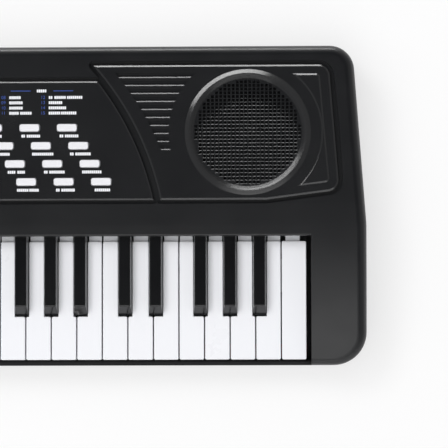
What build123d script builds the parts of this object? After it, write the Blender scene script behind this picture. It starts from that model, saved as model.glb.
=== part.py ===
from build123d import *
from math import asin, degrees, floor, sqrt
import os

# Toy electronic keyboard with 37 small keys, two speakers and a central control panel.
# Millimetres. X runs along the keys (bass to treble), Y from the player to the rear, Z up.
# The origin is on the table, under the middle of the casing.

os.makedirs("parts", exist_ok=True)

# ------------------------------------------------------------------ driving dimensions

# Compass
white_pitch = 15.5  # one white key and its gap
octaves = 3
key_gap = 0.7  # between neighbouring white keys
black_width = 8.4
black_clearance = 0.5  # each side of a black key

# Casing
cheek_width = 36.0  # beside the keys
case_depth = 193.0
foot_height = 2.5
deck_height = 48.0  # flat top above the table
cheek_drop = 11.0  # the top falls this far towards the front edge
split_height = 20.0  # parting plane of the two shells
wall = 2.2
side_taper = 8.0  # each side is this much narrower at the rear
knee_from_front = 85.0
knee_round = 30.0
front_corner = 20.0
rear_corner = 15.0
top_round = 6.0
bottom_bevel = 2.0
lip_height = 2.0
lip_thickness = 1.0
lip_clearance = 0.15
edge_reach = 0.1  # an edge this near to a place counts as lying there

# Key opening
opening_depth = 77.9  # front edge of the casing to the rear edge of the opening
opening_side_gap = 2.6
front_gap = 3.5  # front edge of the casing to the white keys
rail_overlap = 1.0  # the front rail stands this far above the skirts of the keys
apron_thickness = 5.2  # of the edge that the black keys pass under
apron_round = 1.0
skirt_thickness = 2.0
skirt_overlap = 2.0  # the opening's side walls reach this far below the keys

# Deck, speaker panels and control panel
deck_band = 21.6  # between the key opening and the panels
rear_rim = 11.9
side_rim = 15.2
panel_step = 9.6  # the control panel stops this far short of the speaker panels
panel_proud = 0.4
pocket_depth = 3.8
pocket_gap = 2.3
panel_groove = 4.0  # between the control panel and a speaker panel
panel_thickness = 2.4
panel_skirt = 1.6
panel_seat = 6.0  # width of the pocket floor under the control panel's edge
panel_edge = 0.9
corner_round = 7.0
pod_reach_rear = 93.5  # from the speaker's centre to the panel's inner end
pod_reach_front = 52.8
pod_bend_beyond = 10.9  # outside the speaker's centre the front edge turns up
pod_rise = 5.7
pod_left_sagitta = 6.0
pod_side_sagitta = 0.9

# Speaker opening
speaker_from_side = 52.0  # from the side edge of the panel
ring_margin = 2.8  # between the ring and the panel's front and rear edges
ring_width = 5.4
ring_height = 1.9
ring_bevel = 1.5
grille_depth = 1.2  # below the panel top
grille_pitch = 6.6
grille_bar = 2.0
grille_border = 0.6  # between the ring and the nearest whole hole
facet_inset = 5.6
facet_from_ring = 6.3
facet_height = 0.6

# Louvres beside the speaker
louvre_count = 10
louvre_pitch = 4.85
louvre_width = 3.8
louvre_depth = 1.4
louvre_from_rear = 7.3  # rear edge of the panel to the middle of the first louvre
louvre_inset = 9.7  # from the panel's inner edge
louvre_from_ring = 9.8

# Buttons
button_length = 12.3
button_width = 4.7
button_corner = 1.0
button_clearance = 0.4
button_proud = 1.0
button_travel = 1.0
button_pitch = 22.6
button_row_counts = (3, 4, 4, 5)
buttons_from_rear = 28.2  # rear edge of the panel to the rear row
buttons_from_front = 11.1
button_row_right = 26.1  # right-hand button of the rear row
button_row_shift = 6.9
button_web = 1.0
button_web_gap = 0.4
button_web_width = 7.2
button_edge = 0.5
pad_size = 4.0
pad_gap = 0.3  # to the board with the button pressed

# Keys
white_below_deck = 13.5
white_depth = 9.5
white_plate = 1.6
key_wall = 1.3
white_rear_gap = 2.7  # to the rear edge of the opening
head_length = 26.2
white_corner = 1.0
white_edge = 0.4
black_rise = 7.5  # above the white keys
black_skirt_rise = 2.0
black_top_width = 6.8
black_draft_rise = 0.5  # the sides taper from this far above the white keys
black_front_slope = 5.6
black_front_gap = 0.6
black_nose = 0.6
black_edge = 0.4
black_under_apron = 5.0
tongue_drop = 3.0  # below the top of the white keys
tongue_thickness = 2.0
tongue_margin = 0.2
last_tongue_start = 2.3
last_tongue_width = 8.6
pivot_from_opening = 15.7
pivot_drop = 3.5  # below the top of the tongues
rail_radius = 2.0
rail_clearance = 0.06
clip_wall = 1.5
rail_web = 1.4
key_travel = 4.4  # at the front of a white key

# Key frame, contacts and felt
bed_thickness = 2.0
bed_from_front = 5.0
bed_behind_pivot = 3.0
guide_thickness = 1.6
guide_clearance = 0.2
white_guide_y = 12.0
black_guide_y = 38.0
guide_overlap = 3.4  # inside the key at rest
felt_width = 8.0
felt_thickness = 2.5
felt_ledge = 1.5
felt_clearance = 0.6  # under a white key at full travel
board_thickness = 1.6
contact_board_depth = 20.0
white_contact_y = 47.0
black_contact_y = 56.0
contact_sheet = 0.8
dome_base = 6.4
dome_sides = 6
dome_top = 4.4
dome_height = 5.8
plunger_width = 3.6
plunger_thickness = 1.2
plunger_clearance = 0.15  # above the dome with the key pressed

# Speaker drivers
driver_inset = 1.5  # inside the outer edge of the ring
driver_flange = 1.6
driver_flange_width = 6.5
driver_depth = 14.0
driver_coil_radius = 9.0
driver_magnet_radius = 16.0
driver_magnet_height = 7.0
cone_thickness = 0.6

# Main board and rear sockets
board_drop = 2.2  # underside of the pocket to the board
main_board_half_width = 66.0
board_from_rear = 17.5
board_tab_half_width = 45.0
board_tab_gap = 0.6
chip_size = 14.0
chip_height = 2.0
capacitor_radius = 4.0
capacitor_height = 9.0
board_post_size = 5.0  # square
board_post_inset = 2.5  # from the panel's front edge
board_post_edge = 8.0  # from the board's side
board_post_beside_pod = 2.9
socket_width = 12.0
socket_height = 9.0
socket_depth = 14.0
socket_nose = 3.9  # radius of the collar in the rear wall
socket_nose_gap = 0.1
jack_bore = 1.8
power_bore = 2.9
socket_spacing = 20.0
socket_first_x = -30.0

# Power switch
switch_x = 30.0
switch_slot = 9.0
switch_slot_height = 4.4
switch_knob_width = 4.0
switch_knob_height = 3.6
switch_knob_sunk = 0.3  # below the rear face
switch_travel = 3.0
switch_slider_width = 8.0
switch_slider_thickness = 1.4
switch_gap = 0.3
switch_body_width = 14.0
switch_body_depth = 8.0

# Battery bay
battery_radius = 7.25
battery_length = 50.5
battery_cells = 4
battery_slack = 0.5
contact_room = 4.0
bay_wall = 1.6
bay_gap = 2.55  # behind the key frame
door_clearance = 0.4
door_thickness = 2.0
door_ledge = 1.0
door_grip_width = 14.0
door_grip_length = 5.0
door_grip_depth = 0.8
contact_plate = 0.5
contact_width = 9.0
contact_spring = 3.0
contact_taper = 12.0

# Bosses and feet
boss_radius = 4.0
post_radius = 5.0
counterbore_radius = 3.3
counterbore_depth = 13.0
front_screw_inset = 17.5  # from the side
front_screw_y = 46.0  # from the front edge
middle_screw_reach = 48.4  # from the speaker's centre
middle_screw_inset = 6.5  # from the panel's front edge
rear_screw_inset = 13.5
rear_screw_y = 15.0  # from the rear edge
frame_rib_count = 4
foot_radius = 6.0
foot_inset = 24.0

# ------------------------------------------------------------------ derived places

white_count = 7 * octaves + 1
key_field = white_count * white_pitch
half_width = key_field / 2 + cheek_width
front = -case_depth / 2
rear = case_depth / 2
half_rear = half_width - side_taper
knee = front + knee_from_front
case_bottom = foot_height
floor_top = case_bottom + wall
opening_rear = front + opening_depth
opening_half = key_field / 2 + opening_side_gap
slope_start = opening_rear + deck_band - pocket_gap
slope_run = slope_start - front
slope_radius = (slope_run**2 + cheek_drop**2) / (2 * cheek_drop)

panel_front = opening_rear + deck_band
pod_rear = rear - rear_rim
panel_rear = pod_rear - panel_step
speaker_y = (panel_front + pod_rear) / 2
ring_outer = (pod_rear - panel_front) / 2 - ring_margin
ring_inner = ring_outer - ring_width
pocket_floor = deck_height - pocket_depth
pocket_underside = pocket_floor - wall
panel_top = deck_height + panel_proud
panel_underside = panel_top - panel_thickness
grille_top = panel_top - grille_depth

white_top = deck_height - white_below_deck
white_skirt = white_top - white_depth
white_length = opening_depth - front_gap - white_rear_gap
black_top = white_top + black_rise
black_skirt = white_skirt + black_skirt_rise
black_draft_start = white_top + black_draft_rise
tongue_top = white_top - tongue_drop
apron_height = deck_height - apron_thickness
front_rail_height = white_skirt + rail_overlap
skirt_bottom = white_skirt - skirt_overlap
key_front = front + front_gap
pivot_y = opening_rear + pivot_from_opening
pivot_height = tongue_top - pivot_drop
clip_radius = rail_radius + rail_clearance + clip_wall
bed_top = white_skirt - key_travel - felt_clearance - felt_thickness - felt_ledge
bed_height = bed_top - bed_thickness
bed_front = front + bed_from_front
dome_peak = bed_top + board_thickness + contact_sheet + dome_height
board_top = pocket_underside - board_drop
main_board_height = board_top - board_thickness
button_row_pitch = (panel_rear - panel_front - buttons_from_rear - buttons_from_front) / (
    len(button_row_counts) - 1
)
button_web_top = panel_underside - button_web_gap
black_slot = black_width + 2 * black_clearance
black_front = key_front + head_length + black_front_gap

driver_top = pocket_underside
driver_radius = ring_outer - driver_inset
driver_cone_radius = driver_radius - driver_flange_width
bay_width = battery_cells * (2 * battery_radius + battery_slack) + battery_slack
bay_length = battery_length + 2 * contact_room
bay_top = floor_top + 2 * battery_radius + 2 * battery_slack
bay_centre = pivot_y + bed_behind_pivot + bay_gap + bay_wall + bay_length / 2
socket_z = main_board_height - socket_height / 2
socket_spots = [(socket_first_x + index * socket_spacing, socket_z) for index in range(3)]
foot_spots = [
    (side * x, y)
    for side in (-1, 1)
    for x, y in ((half_width - foot_inset, front + foot_inset), (half_rear - foot_inset, rear - foot_inset))
]


def casing_half_width(y):
    """Half of the casing's width at a distance along Y, by its two straight sides."""
    if y < knee:
        return half_width
    return half_width - side_taper * (y - knee) / (rear - knee)


speaker_x = casing_half_width(speaker_y) - side_rim - speaker_from_side
speaker_spots = [(speaker_x, speaker_y), (-speaker_x, speaker_y)]
pod_left_rear = speaker_x - pod_reach_rear
pod_left_front = speaker_x - pod_reach_front
case_screw_spots = []
board_post_spots = []
for side in (-1, 1):
    case_screw_spots.append((side * (half_width - front_screw_inset), front + front_screw_y))
    case_screw_spots.append((side * (speaker_x - middle_screw_reach), panel_front + middle_screw_inset))
    case_screw_spots.append((side * (half_rear - rear_screw_inset), rear - rear_screw_y))
    board_post_spots.append((side * (main_board_half_width - board_post_edge), panel_front + board_post_inset))
    board_post_spots.append((side * (pod_left_rear - board_post_beside_pod), panel_rear - board_post_inset))


def save(piece, name):
    """Labels a finished piece and writes it as a STEP file of that name."""
    piece.part.label = name
    export_step(piece.part, f"parts/{name}.step")


# ------------------------------------------------------------------ key layout


def key_cells():
    """White and black keys in order: (name, cell x, tail left, tail right) and (name, centre x)."""
    whites = []
    blacks = []
    left = -key_field / 2
    groups = (("cde", 2), ("fgab", 3))
    for octave in range(octaves):
        for letters, black_count in groups:
            span = len(letters) * white_pitch
            tail = (span - black_count * black_slot) / len(letters)
            for index, letter in enumerate(letters):
                cell = left + index * white_pitch
                tail_left = left + index * (tail + black_slot)
                tail_right = tail_left + tail
                whites.append(
                    (
                        f"white_key_{letter}{octave + 1}",
                        letter,
                        cell,
                        max(tail_left, cell + key_gap / 2) - cell,
                        min(tail_right, cell + white_pitch - key_gap / 2) - cell,
                    )
                )
                if index < black_count:
                    blacks.append((f"black_key_{letter}_sharp{octave + 1}", tail_right + black_slot / 2))
            left += span
    whites.append((f"white_key_c{octaves + 1}", "last", left, key_gap / 2, white_pitch - key_gap / 2))
    return whites, blacks


white_keys, black_keys = key_cells()

# ------------------------------------------------------------------ outlines


def case_plan(inset):
    """Plan outline of the casing, inset from its outer face."""
    with BuildSketch() as plan:
        with BuildLine():
            Polyline(
                (-half_width, front),
                (half_width, front),
                (half_width, knee),
                (half_rear, rear),
                (-half_rear, rear),
                (-half_width, knee),
                close=True,
            )
        make_face()
        fillet(plan.vertices().group_by(Axis.Y)[0], front_corner)
        fillet(plan.vertices().group_by(Axis.Y)[-1], rear_corner)
        knees = plan.vertices().filter_by_position(Axis.Y, knee - edge_reach, knee + edge_reach)
        fillet(knees, knee_round)
        if inset:
            offset(amount=-inset)
    return plan.sketch


def case_volume(inset):
    """The casing as one block, inset from its outer face."""
    overrun = 15.0
    past_front = front - overrun
    low_end = deck_height - slope_radius + sqrt(slope_radius**2 - (slope_start - past_front) ** 2)
    with BuildPart() as volume:
        with BuildSketch(Plane.XY.offset(case_bottom)):
            add(case_plan(inset))
        extrude(amount=deck_height)
        with BuildSketch(Plane.YZ):
            with BuildLine():
                Line((slope_start, deck_height), (rear + overrun, deck_height))
                Line((rear + overrun, deck_height), (rear + overrun, case_bottom))
                Line((rear + overrun, case_bottom), (past_front, case_bottom))
                Line((past_front, case_bottom), (past_front, low_end))
                TangentArc((slope_start, deck_height), (past_front, low_end), tangent=(-1, 0))
            make_face()
            if inset:
                offset(amount=-inset)
        extrude(amount=half_width + overrun, both=True, mode=Mode.INTERSECT)
    return volume.part


def pod_plan():
    """Plan outline of the right-hand speaker panel."""
    side_top = (casing_half_width(pod_rear) - side_rim, pod_rear)
    side_bottom = (casing_half_width(panel_front) - side_rim, panel_front + pod_rise)
    with BuildSketch() as plan:
        with BuildLine():
            Line((pod_left_rear, pod_rear), side_top)
            SagittaArc(side_top, side_bottom, pod_side_sagitta)
            Line(side_bottom, (speaker_x + pod_bend_beyond, panel_front))
            Line((speaker_x + pod_bend_beyond, panel_front), (pod_left_front, panel_front))
            SagittaArc((pod_left_front, panel_front), (pod_left_rear, pod_rear), -pod_left_sagitta)
        make_face()
        fillet(plan.vertices().sort_by(Axis.X)[-2:], corner_round)
    return plan.sketch


pod_face = pod_plan()


def panel_plan():
    """Plan outline of the control panel: what is left between the two speaker panels."""
    with BuildSketch() as plan:
        with Locations((0, (panel_front + panel_rear) / 2)):
            Rectangle(2 * (pod_left_front + panel_groove), panel_rear - panel_front)
        with BuildSketch(mode=Mode.SUBTRACT) as pods:
            add(pod_face)
            offset(amount=panel_groove)
            mirror(about=Plane.YZ)
    return plan.sketch


panel_face = panel_plan()


def pocket_plan(margin):
    """Plan outline of the pocket that holds all three panels, grown by a margin."""
    with BuildSketch() as pods:
        add(pod_face)
        offset(amount=pocket_gap + margin)
        mirror(about=Plane.YZ)
    with BuildSketch() as middle:
        add(panel_face)
        offset(amount=pocket_gap + margin)
    with BuildSketch() as plan:
        add(pods.sketch)
        add(middle.sketch)
    return plan.sketch


# ------------------------------------------------------------------ casing

inner_volume = case_volume(wall)

with BuildPart() as rounded_volume:
    add(case_volume(0))
    top_edges = rounded_volume.faces().filter_by(lambda face: face.normal_at().Z > 0.5).edges()
    slope_crease = top_edges.filter_by_position(Axis.Y, slope_start - edge_reach, slope_start + edge_reach)
    rim = [edge for edge in top_edges if edge not in slope_crease]
    fillet(rim, top_round)
    chamfer(rounded_volume.faces().sort_by(Axis.Z)[0].edges(), bottom_bevel)
outer_volume = rounded_volume.part


def upper_structure():
    """Pocket tub, opening skirts, apron and screw bosses, trimmed to the outer surface."""
    opening_middle = (front + opening_rear) / 2
    with BuildPart() as structure:
        with BuildSketch(Plane.XY.offset(pocket_underside)):
            add(pocket_plan(wall))
        extrude(amount=deck_height - pocket_underside)
        for side in (-1, 1):
            with BuildSketch(Plane.XY.offset(skirt_bottom)):
                with Locations((side * (opening_half + skirt_thickness / 2), opening_middle)):
                    Rectangle(skirt_thickness, opening_depth + 2 * skirt_thickness)
            extrude(amount=deck_height)
        with BuildSketch(Plane.XY.offset(apron_height)):
            with Locations((0, opening_rear + skirt_thickness / 2)):
                Rectangle(2 * opening_half + 2 * skirt_thickness, skirt_thickness)
        extrude(amount=deck_height)
        with BuildSketch(Plane.XY.offset(split_height)):
            with Locations(*case_screw_spots):
                Circle(boss_radius)
        extrude(amount=deck_height)
        with BuildSketch(Plane.XY.offset(board_top)):
            with Locations(*board_post_spots):
                Rectangle(board_post_size, board_post_size)
        extrude(amount=pocket_floor - board_top)
        add(outer_volume, mode=Mode.INTERSECT)
    return structure.part


with BuildPart() as upper_case:
    add(outer_volume)
    add(inner_volume, mode=Mode.SUBTRACT)
    add(upper_structure())
    split(bisect_by=Plane.XY.offset(split_height), keep=Keep.TOP)
    # Pocket for the three panels, and the windows in its floor.
    with BuildSketch(Plane.XY.offset(pocket_floor)):
        add(pocket_plan(0))
    extrude(amount=deck_height, mode=Mode.SUBTRACT)
    with BuildSketch(Plane.XY.offset(pocket_underside)):
        add(panel_face)
        offset(amount=-panel_seat)
        with Locations((speaker_x, speaker_y), (-speaker_x, speaker_y)):
            Circle(ring_inner)
    extrude(amount=pocket_depth, mode=Mode.SUBTRACT)
    # Key opening, with the front wall lowered to a rail.
    with BuildSketch(Plane.XY.offset(split_height)):
        with Locations((0, (front + wall + opening_rear) / 2)):
            Rectangle(2 * opening_half, opening_depth - wall)
    extrude(amount=deck_height, mode=Mode.SUBTRACT)
    with BuildSketch(Plane.XY.offset(front_rail_height)):
        with Locations((0, (front + opening_rear) / 2 - wall)):
            Rectangle(2 * opening_half, opening_depth + 2 * wall)
    extrude(amount=deck_height, mode=Mode.SUBTRACT)
    opening_edges = upper_case.edges().filter_by(Axis.X)
    apron = opening_edges.filter_by_position(Axis.Y, opening_rear - edge_reach, opening_rear + edge_reach)
    fillet(apron.sort_by(Axis.Z)[-1], apron_round)
    # Openings in the rear wall.
    with BuildSketch(Plane.XZ.offset(-rear)):
        with Locations(*socket_spots):
            Circle(socket_nose + socket_nose_gap)
        with Locations((switch_x, socket_z)):
            Rectangle(switch_slot, switch_slot_height)
    extrude(amount=2 * wall, mode=Mode.SUBTRACT)
save(upper_case, "upper_case")

with BuildPart() as lower_case:
    add(outer_volume)
    add(inner_volume, mode=Mode.SUBTRACT)
    split(bisect_by=Plane.XY.offset(split_height), keep=Keep.BOTTOM)
    # Lap lip that locates the upper shell.
    lip_outer = wall + lip_clearance
    lip_root = split_height - 3 * lip_height
    lip_stages = ((lip_root, split_height, wall / 2), (split_height, split_height + lip_height, lip_outer))
    for low, high, outside in lip_stages:
        with BuildSketch(Plane.XY.offset(low)):
            add(case_plan(outside))
            add(case_plan(lip_outer + lip_thickness), mode=Mode.SUBTRACT)
        extrude(amount=high - low)
    # Screw posts, ribs under the key frame and the battery bay.
    with BuildSketch(Plane.XY.offset(floor_top)):
        with Locations(*case_screw_spots):
            Circle(post_radius)
    extrude(amount=split_height - floor_top)
    with BuildSketch(Plane.XY.offset(floor_top)):
        with Locations((0, bed_front)):
            with GridLocations(key_field / frame_rib_count, 0, frame_rib_count, 1):
                Rectangle(wall, pivot_y - bed_front, align=(Align.CENTER, Align.MIN))
    extrude(amount=bed_height - floor_top)
    with BuildSketch(Plane.XY.offset(case_bottom)):
        with Locations((0, bay_centre)):
            Rectangle(bay_width + 2 * bay_wall, bay_length + 2 * bay_wall)
    extrude(amount=bay_top + bay_wall - case_bottom)
    for size_x, size_y, top in (
        (bay_width, bay_length, bay_top),
        (bay_width + 2 * door_ledge, bay_length + 2 * door_ledge, case_bottom + door_thickness),
    ):
        with BuildSketch(Plane.XY.offset(case_bottom)):
            with Locations((0, bay_centre)):
                Rectangle(size_x, size_y)
        extrude(amount=top - case_bottom, mode=Mode.SUBTRACT)
    # Counterbores for the case screws.
    with BuildSketch(Plane.XY.offset(case_bottom)):
        with Locations(*case_screw_spots):
            Circle(counterbore_radius)
    extrude(amount=counterbore_depth, mode=Mode.SUBTRACT)
save(lower_case, "lower_case")

# ------------------------------------------------------------------ panels


def grille_spots():
    """Centres of the grille holes that lie wholly inside the ring."""
    reach = ring_inner - grille_border
    most = floor(reach / grille_pitch)
    steps = [index * grille_pitch for index in range(-most, most + 1)]
    half_hole = (grille_pitch - grille_bar) / 2
    spots = []
    for x in steps:
        for y in steps:
            if sqrt((abs(x) + half_hole) ** 2 + (abs(y) + half_hole) ** 2) < reach:
                spots.append((speaker_x + x, speaker_y + y))
    return spots


with BuildPart() as right_speaker_panel:
    with BuildSketch(Plane.XY.offset(pocket_floor)):
        add(pod_face)
    extrude(amount=panel_top - pocket_floor)
    chamfer(right_speaker_panel.faces().sort_by(Axis.Z)[-1].edges(), panel_edge)
    # Raised facet beyond the speaker.
    with BuildSketch(Plane.XY.offset(panel_top)) as facet:
        add(pod_face)
        offset(amount=-facet_inset)
        with Locations((speaker_x, speaker_y)):
            Circle(ring_outer + facet_from_ring, mode=Mode.SUBTRACT)
            Rectangle(2 * case_depth, case_depth, align=(Align.MAX, Align.CENTER), mode=Mode.SUBTRACT)
    extrude(amount=facet_height)
    # Hollow underside that stands on its rim.
    with BuildSketch(Plane.XY.offset(pocket_floor)):
        add(pod_face)
        offset(amount=-panel_skirt)
    extrude(amount=panel_underside - pocket_floor, mode=Mode.SUBTRACT)
    # Raised ring round the speaker opening.
    with BuildSketch(Plane.XZ.offset(-speaker_y)) as bead:
        with BuildLine():
            Polyline(
                (speaker_x + ring_inner, panel_underside),
                (speaker_x + ring_outer, panel_underside),
                (speaker_x + ring_outer, panel_top),
                (speaker_x + ring_outer - ring_bevel, panel_top + ring_height),
                (speaker_x + ring_inner, panel_top + ring_height),
                close=True,
            )
        make_face()
    revolve(axis=Axis((speaker_x, speaker_y, 0), (0, 0, 1)))
    with BuildSketch(Plane.XY.offset(grille_top)):
        with Locations((speaker_x, speaker_y)):
            Circle(ring_inner)
    extrude(amount=deck_height, mode=Mode.SUBTRACT)
    # Square grille holes, all of them whole.
    with BuildSketch(Plane.XY.offset(pocket_floor)):
        with Locations(*grille_spots()):
            Rectangle(grille_pitch - grille_bar, grille_pitch - grille_bar)
    extrude(amount=deck_height, mode=Mode.SUBTRACT)
    # Louvres with a steep rear wall and a sloping floor.
    louvre_end_radius = ring_outer + louvre_from_ring
    with BuildPart(mode=Mode.PRIVATE) as louvres:
        with BuildSketch(Plane.YZ):
            for index in range(louvre_count):
                louvre_rear = pod_rear - louvre_from_rear + louvre_width / 2 - index * louvre_pitch
                with BuildLine():
                    Polyline(
                        (louvre_rear, panel_top),
                        (louvre_rear, panel_top - louvre_depth),
                        (louvre_rear - louvre_width, panel_top),
                        close=True,
                    )
                make_face()
        extrude(amount=half_width)
        with BuildSketch(Plane.XY.offset(panel_underside)):
            with Locations((louvre_inset, 0)):
                add(pod_face)
            with Locations((speaker_x, speaker_y)):
                Circle(louvre_end_radius, mode=Mode.SUBTRACT)
                Rectangle(case_depth, case_depth, align=(Align.MIN, Align.CENTER), mode=Mode.SUBTRACT)
                Rectangle(2 * louvre_end_radius, case_depth, align=(Align.CENTER, Align.MAX), mode=Mode.SUBTRACT)
        extrude(amount=deck_height, mode=Mode.INTERSECT)
    add(louvres.part, mode=Mode.SUBTRACT)
save(right_speaker_panel, "right_speaker_panel")

with BuildPart() as left_speaker_panel:
    add(right_speaker_panel.part.mirror(Plane.YZ))
save(left_speaker_panel, "left_speaker_panel")


def button_outline(clearance):
    """Outline of one button with bevelled corners, grown by a clearance."""
    with BuildSketch(mode=Mode.PRIVATE) as outline:
        Rectangle(button_length + 2 * clearance, button_width + 2 * clearance)
        chamfer(outline.vertices(), button_corner + clearance / 2)
    return outline.sketch


def button_spots(row):
    """Button centres of one row, counted from the rear."""
    right_hand = button_row_right + row * button_row_shift
    y = panel_rear - buttons_from_rear - row * button_row_pitch
    return [(right_hand - index * button_pitch, y) for index in range(button_row_counts[row])]


with BuildPart() as control_panel:
    with BuildSketch(Plane.XY.offset(pocket_floor)):
        add(panel_face)
    extrude(amount=panel_top - pocket_floor)
    chamfer(control_panel.faces().sort_by(Axis.Z)[-1].edges(), panel_edge)
    with BuildSketch(Plane.XY.offset(pocket_floor)):
        add(panel_face)
        offset(amount=-panel_skirt)
    extrude(amount=panel_underside - pocket_floor, mode=Mode.SUBTRACT)
    with BuildSketch(Plane.XY.offset(pocket_floor)):
        for row in range(len(button_row_counts)):
            with Locations(*button_spots(row)):
                add(button_outline(button_clearance))
    extrude(amount=deck_height, mode=Mode.SUBTRACT)
save(control_panel, "control_panel")

for row in range(len(button_row_counts)):
    spots = button_spots(row)
    middle_x = (spots[0][0] + spots[-1][0]) / 2
    with BuildPart() as button_row:
        with BuildSketch(Plane.XY.offset(button_web_top - button_web)):
            with Locations(*spots):
                add(button_outline(0))
        extrude(amount=panel_top + button_proud - button_web_top + button_web)
        chamfer(button_row.faces().group_by(Axis.Z)[-1].edges(), button_edge)
        with BuildSketch(Plane.XY.offset(button_web_top - button_web)):
            with Locations((middle_x, spots[0][1])):
                Rectangle(spots[0][0] - spots[-1][0] + button_length + pad_size, button_web_width)
        extrude(amount=button_web)
        with BuildSketch(Plane.XY.offset(board_top + button_travel + pad_gap)):
            with Locations(*spots):
                Rectangle(pad_size, pad_size)
        extrude(until=Until.NEXT)
    save(button_row, f"button_row_{row + 1}")

# ------------------------------------------------------------------ keys


def plunger_bottom(contact_y):
    """Height of a plunger that just clears its dome with the key pressed."""
    drop = (pivot_y - key_front - contact_y) * key_travel / (pivot_y - key_front)
    return dome_peak + plunger_clearance + drop


def pivot_clip(left, right, start):
    """Tongue from a key's rear wall to a clip that hooks over the pivot rail."""
    with BuildPart() as clip:
        with BuildSketch(Plane.YZ.offset(left)):
            with BuildLine():
                Polyline(
                    (start, tongue_top),
                    (pivot_y + clip_radius, tongue_top),
                    (pivot_y + clip_radius, pivot_height - rail_radius / 2),
                    (pivot_y - clip_radius, pivot_height - rail_radius / 2),
                    (pivot_y - clip_radius, tongue_top - tongue_thickness),
                    (start, tongue_top - tongue_thickness),
                    close=True,
                )
            make_face()
            bore = rail_radius + rail_clearance
            with Locations((pivot_y, pivot_height)):
                Circle(bore, mode=Mode.SUBTRACT)
                Rectangle(2 * bore, 2 * clip_radius, align=(Align.CENTER, Align.MAX), mode=Mode.SUBTRACT)
        extrude(amount=right - left)
    return clip.part


def white_key(letter, cell, tail_left, tail_right):
    """Hollow white key: a head, a tail between the black keys and a pivot clip."""
    with BuildSketch() as plan:
        with Locations((cell + key_gap / 2, key_front)):
            Rectangle(white_pitch - key_gap, head_length, align=(Align.MIN, Align.MIN))
        with Locations((cell + tail_left, key_front)):
            Rectangle(tail_right - tail_left, white_length, align=(Align.MIN, Align.MIN))
        chamfer(plan.vertices().group_by(Axis.Y)[0], white_corner)
    tongue_left = cell + tail_left + tongue_margin
    tongue_right = cell + tail_right - tongue_margin
    if letter == "last":
        tongue_left = cell + tail_left + last_tongue_start
        tongue_right = tongue_left + last_tongue_width
    with BuildPart() as key:
        with BuildSketch(Plane.XY.offset(white_skirt)):
            add(plan.sketch)
        extrude(amount=white_top - white_skirt)
        chamfer(key.faces().sort_by(Axis.Z)[-1].edges(), white_edge)
        with BuildSketch(Plane.XY.offset(white_skirt)):
            add(plan.sketch)
            offset(amount=-key_wall, kind=Kind.INTERSECTION)
        extrude(amount=white_top - white_plate - white_skirt, mode=Mode.SUBTRACT)
        plunger_base = plunger_bottom(white_contact_y)
        with BuildSketch(Plane.XY.offset(plunger_base)):
            with Locations((cell + (tail_left + tail_right) / 2, key_front + white_contact_y)):
                Rectangle(plunger_width, plunger_thickness)
        extrude(amount=white_top - white_plate - plunger_base)
        add(pivot_clip(tongue_left, tongue_right, key_front + white_length - key_wall / 2))
    return key


def black_volume(centre, inset, top, nose):
    """Tapered body of a black key with a sloping front, drawn inset from its outer face."""
    low = black_front + inset
    high = opening_rear + black_under_apron - inset
    with BuildPart() as volume:
        with BuildSketch(Plane.YZ):
            with BuildLine():
                Polyline(
                    (low, black_skirt),
                    (high, black_skirt),
                    (high, top),
                    (low + black_front_slope, top),
                    (low + nose, black_draft_start),
                    (low, black_draft_start - nose),
                    close=True,
                )
            make_face()
        extrude(amount=key_field, both=True)
        base_half = black_width / 2 - inset
        top_half = black_top_width / 2 - inset
        with BuildSketch(Plane.XZ.offset(-high)):
            with BuildLine():
                Polyline(
                    (centre - base_half, black_skirt),
                    (centre + base_half, black_skirt),
                    (centre + base_half, black_draft_start),
                    (centre + top_half, top),
                    (centre - top_half, top),
                    (centre - base_half, black_draft_start),
                    close=True,
                )
            make_face()
        extrude(amount=high - low, mode=Mode.INTERSECT)
    return volume


def black_key(centre):
    """Hollow black key with a tapered body, a sloping front and a pivot clip."""
    tongue_half = black_width / 2 - tongue_margin
    with BuildPart() as key:
        add(black_volume(centre, 0, black_top, black_nose).part)
        chamfer(key.faces().sort_by(Axis.Z)[-1].edges(), black_edge)
        add(black_volume(centre, key_wall, black_top - white_plate, black_nose).part, mode=Mode.SUBTRACT)
        plunger_base = plunger_bottom(black_contact_y)
        with BuildSketch(Plane.XY.offset(plunger_base)):
            with Locations((centre, key_front + black_contact_y)):
                Rectangle(plunger_width, plunger_thickness)
        extrude(amount=black_top - white_plate - plunger_base)
        start = opening_rear + black_under_apron - key_wall / 2
        add(pivot_clip(centre - tongue_half, centre + tongue_half, start))
    return key


for name, letter, cell, tail_left, tail_right in white_keys:
    save(white_key(letter, cell, tail_left, tail_right), name)

for name, centre in black_keys:
    save(black_key(centre), name)

# ------------------------------------------------------------------ key frame and contacts

white_centres = [cell + (tail_left + tail_right) / 2 for _, _, cell, tail_left, tail_right in white_keys]
head_centres = [cell + white_pitch / 2 for _, _, cell, _, _ in white_keys]
black_centres = [centre for _, centre in black_keys]
felt_base = bed_top + felt_ledge

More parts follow.
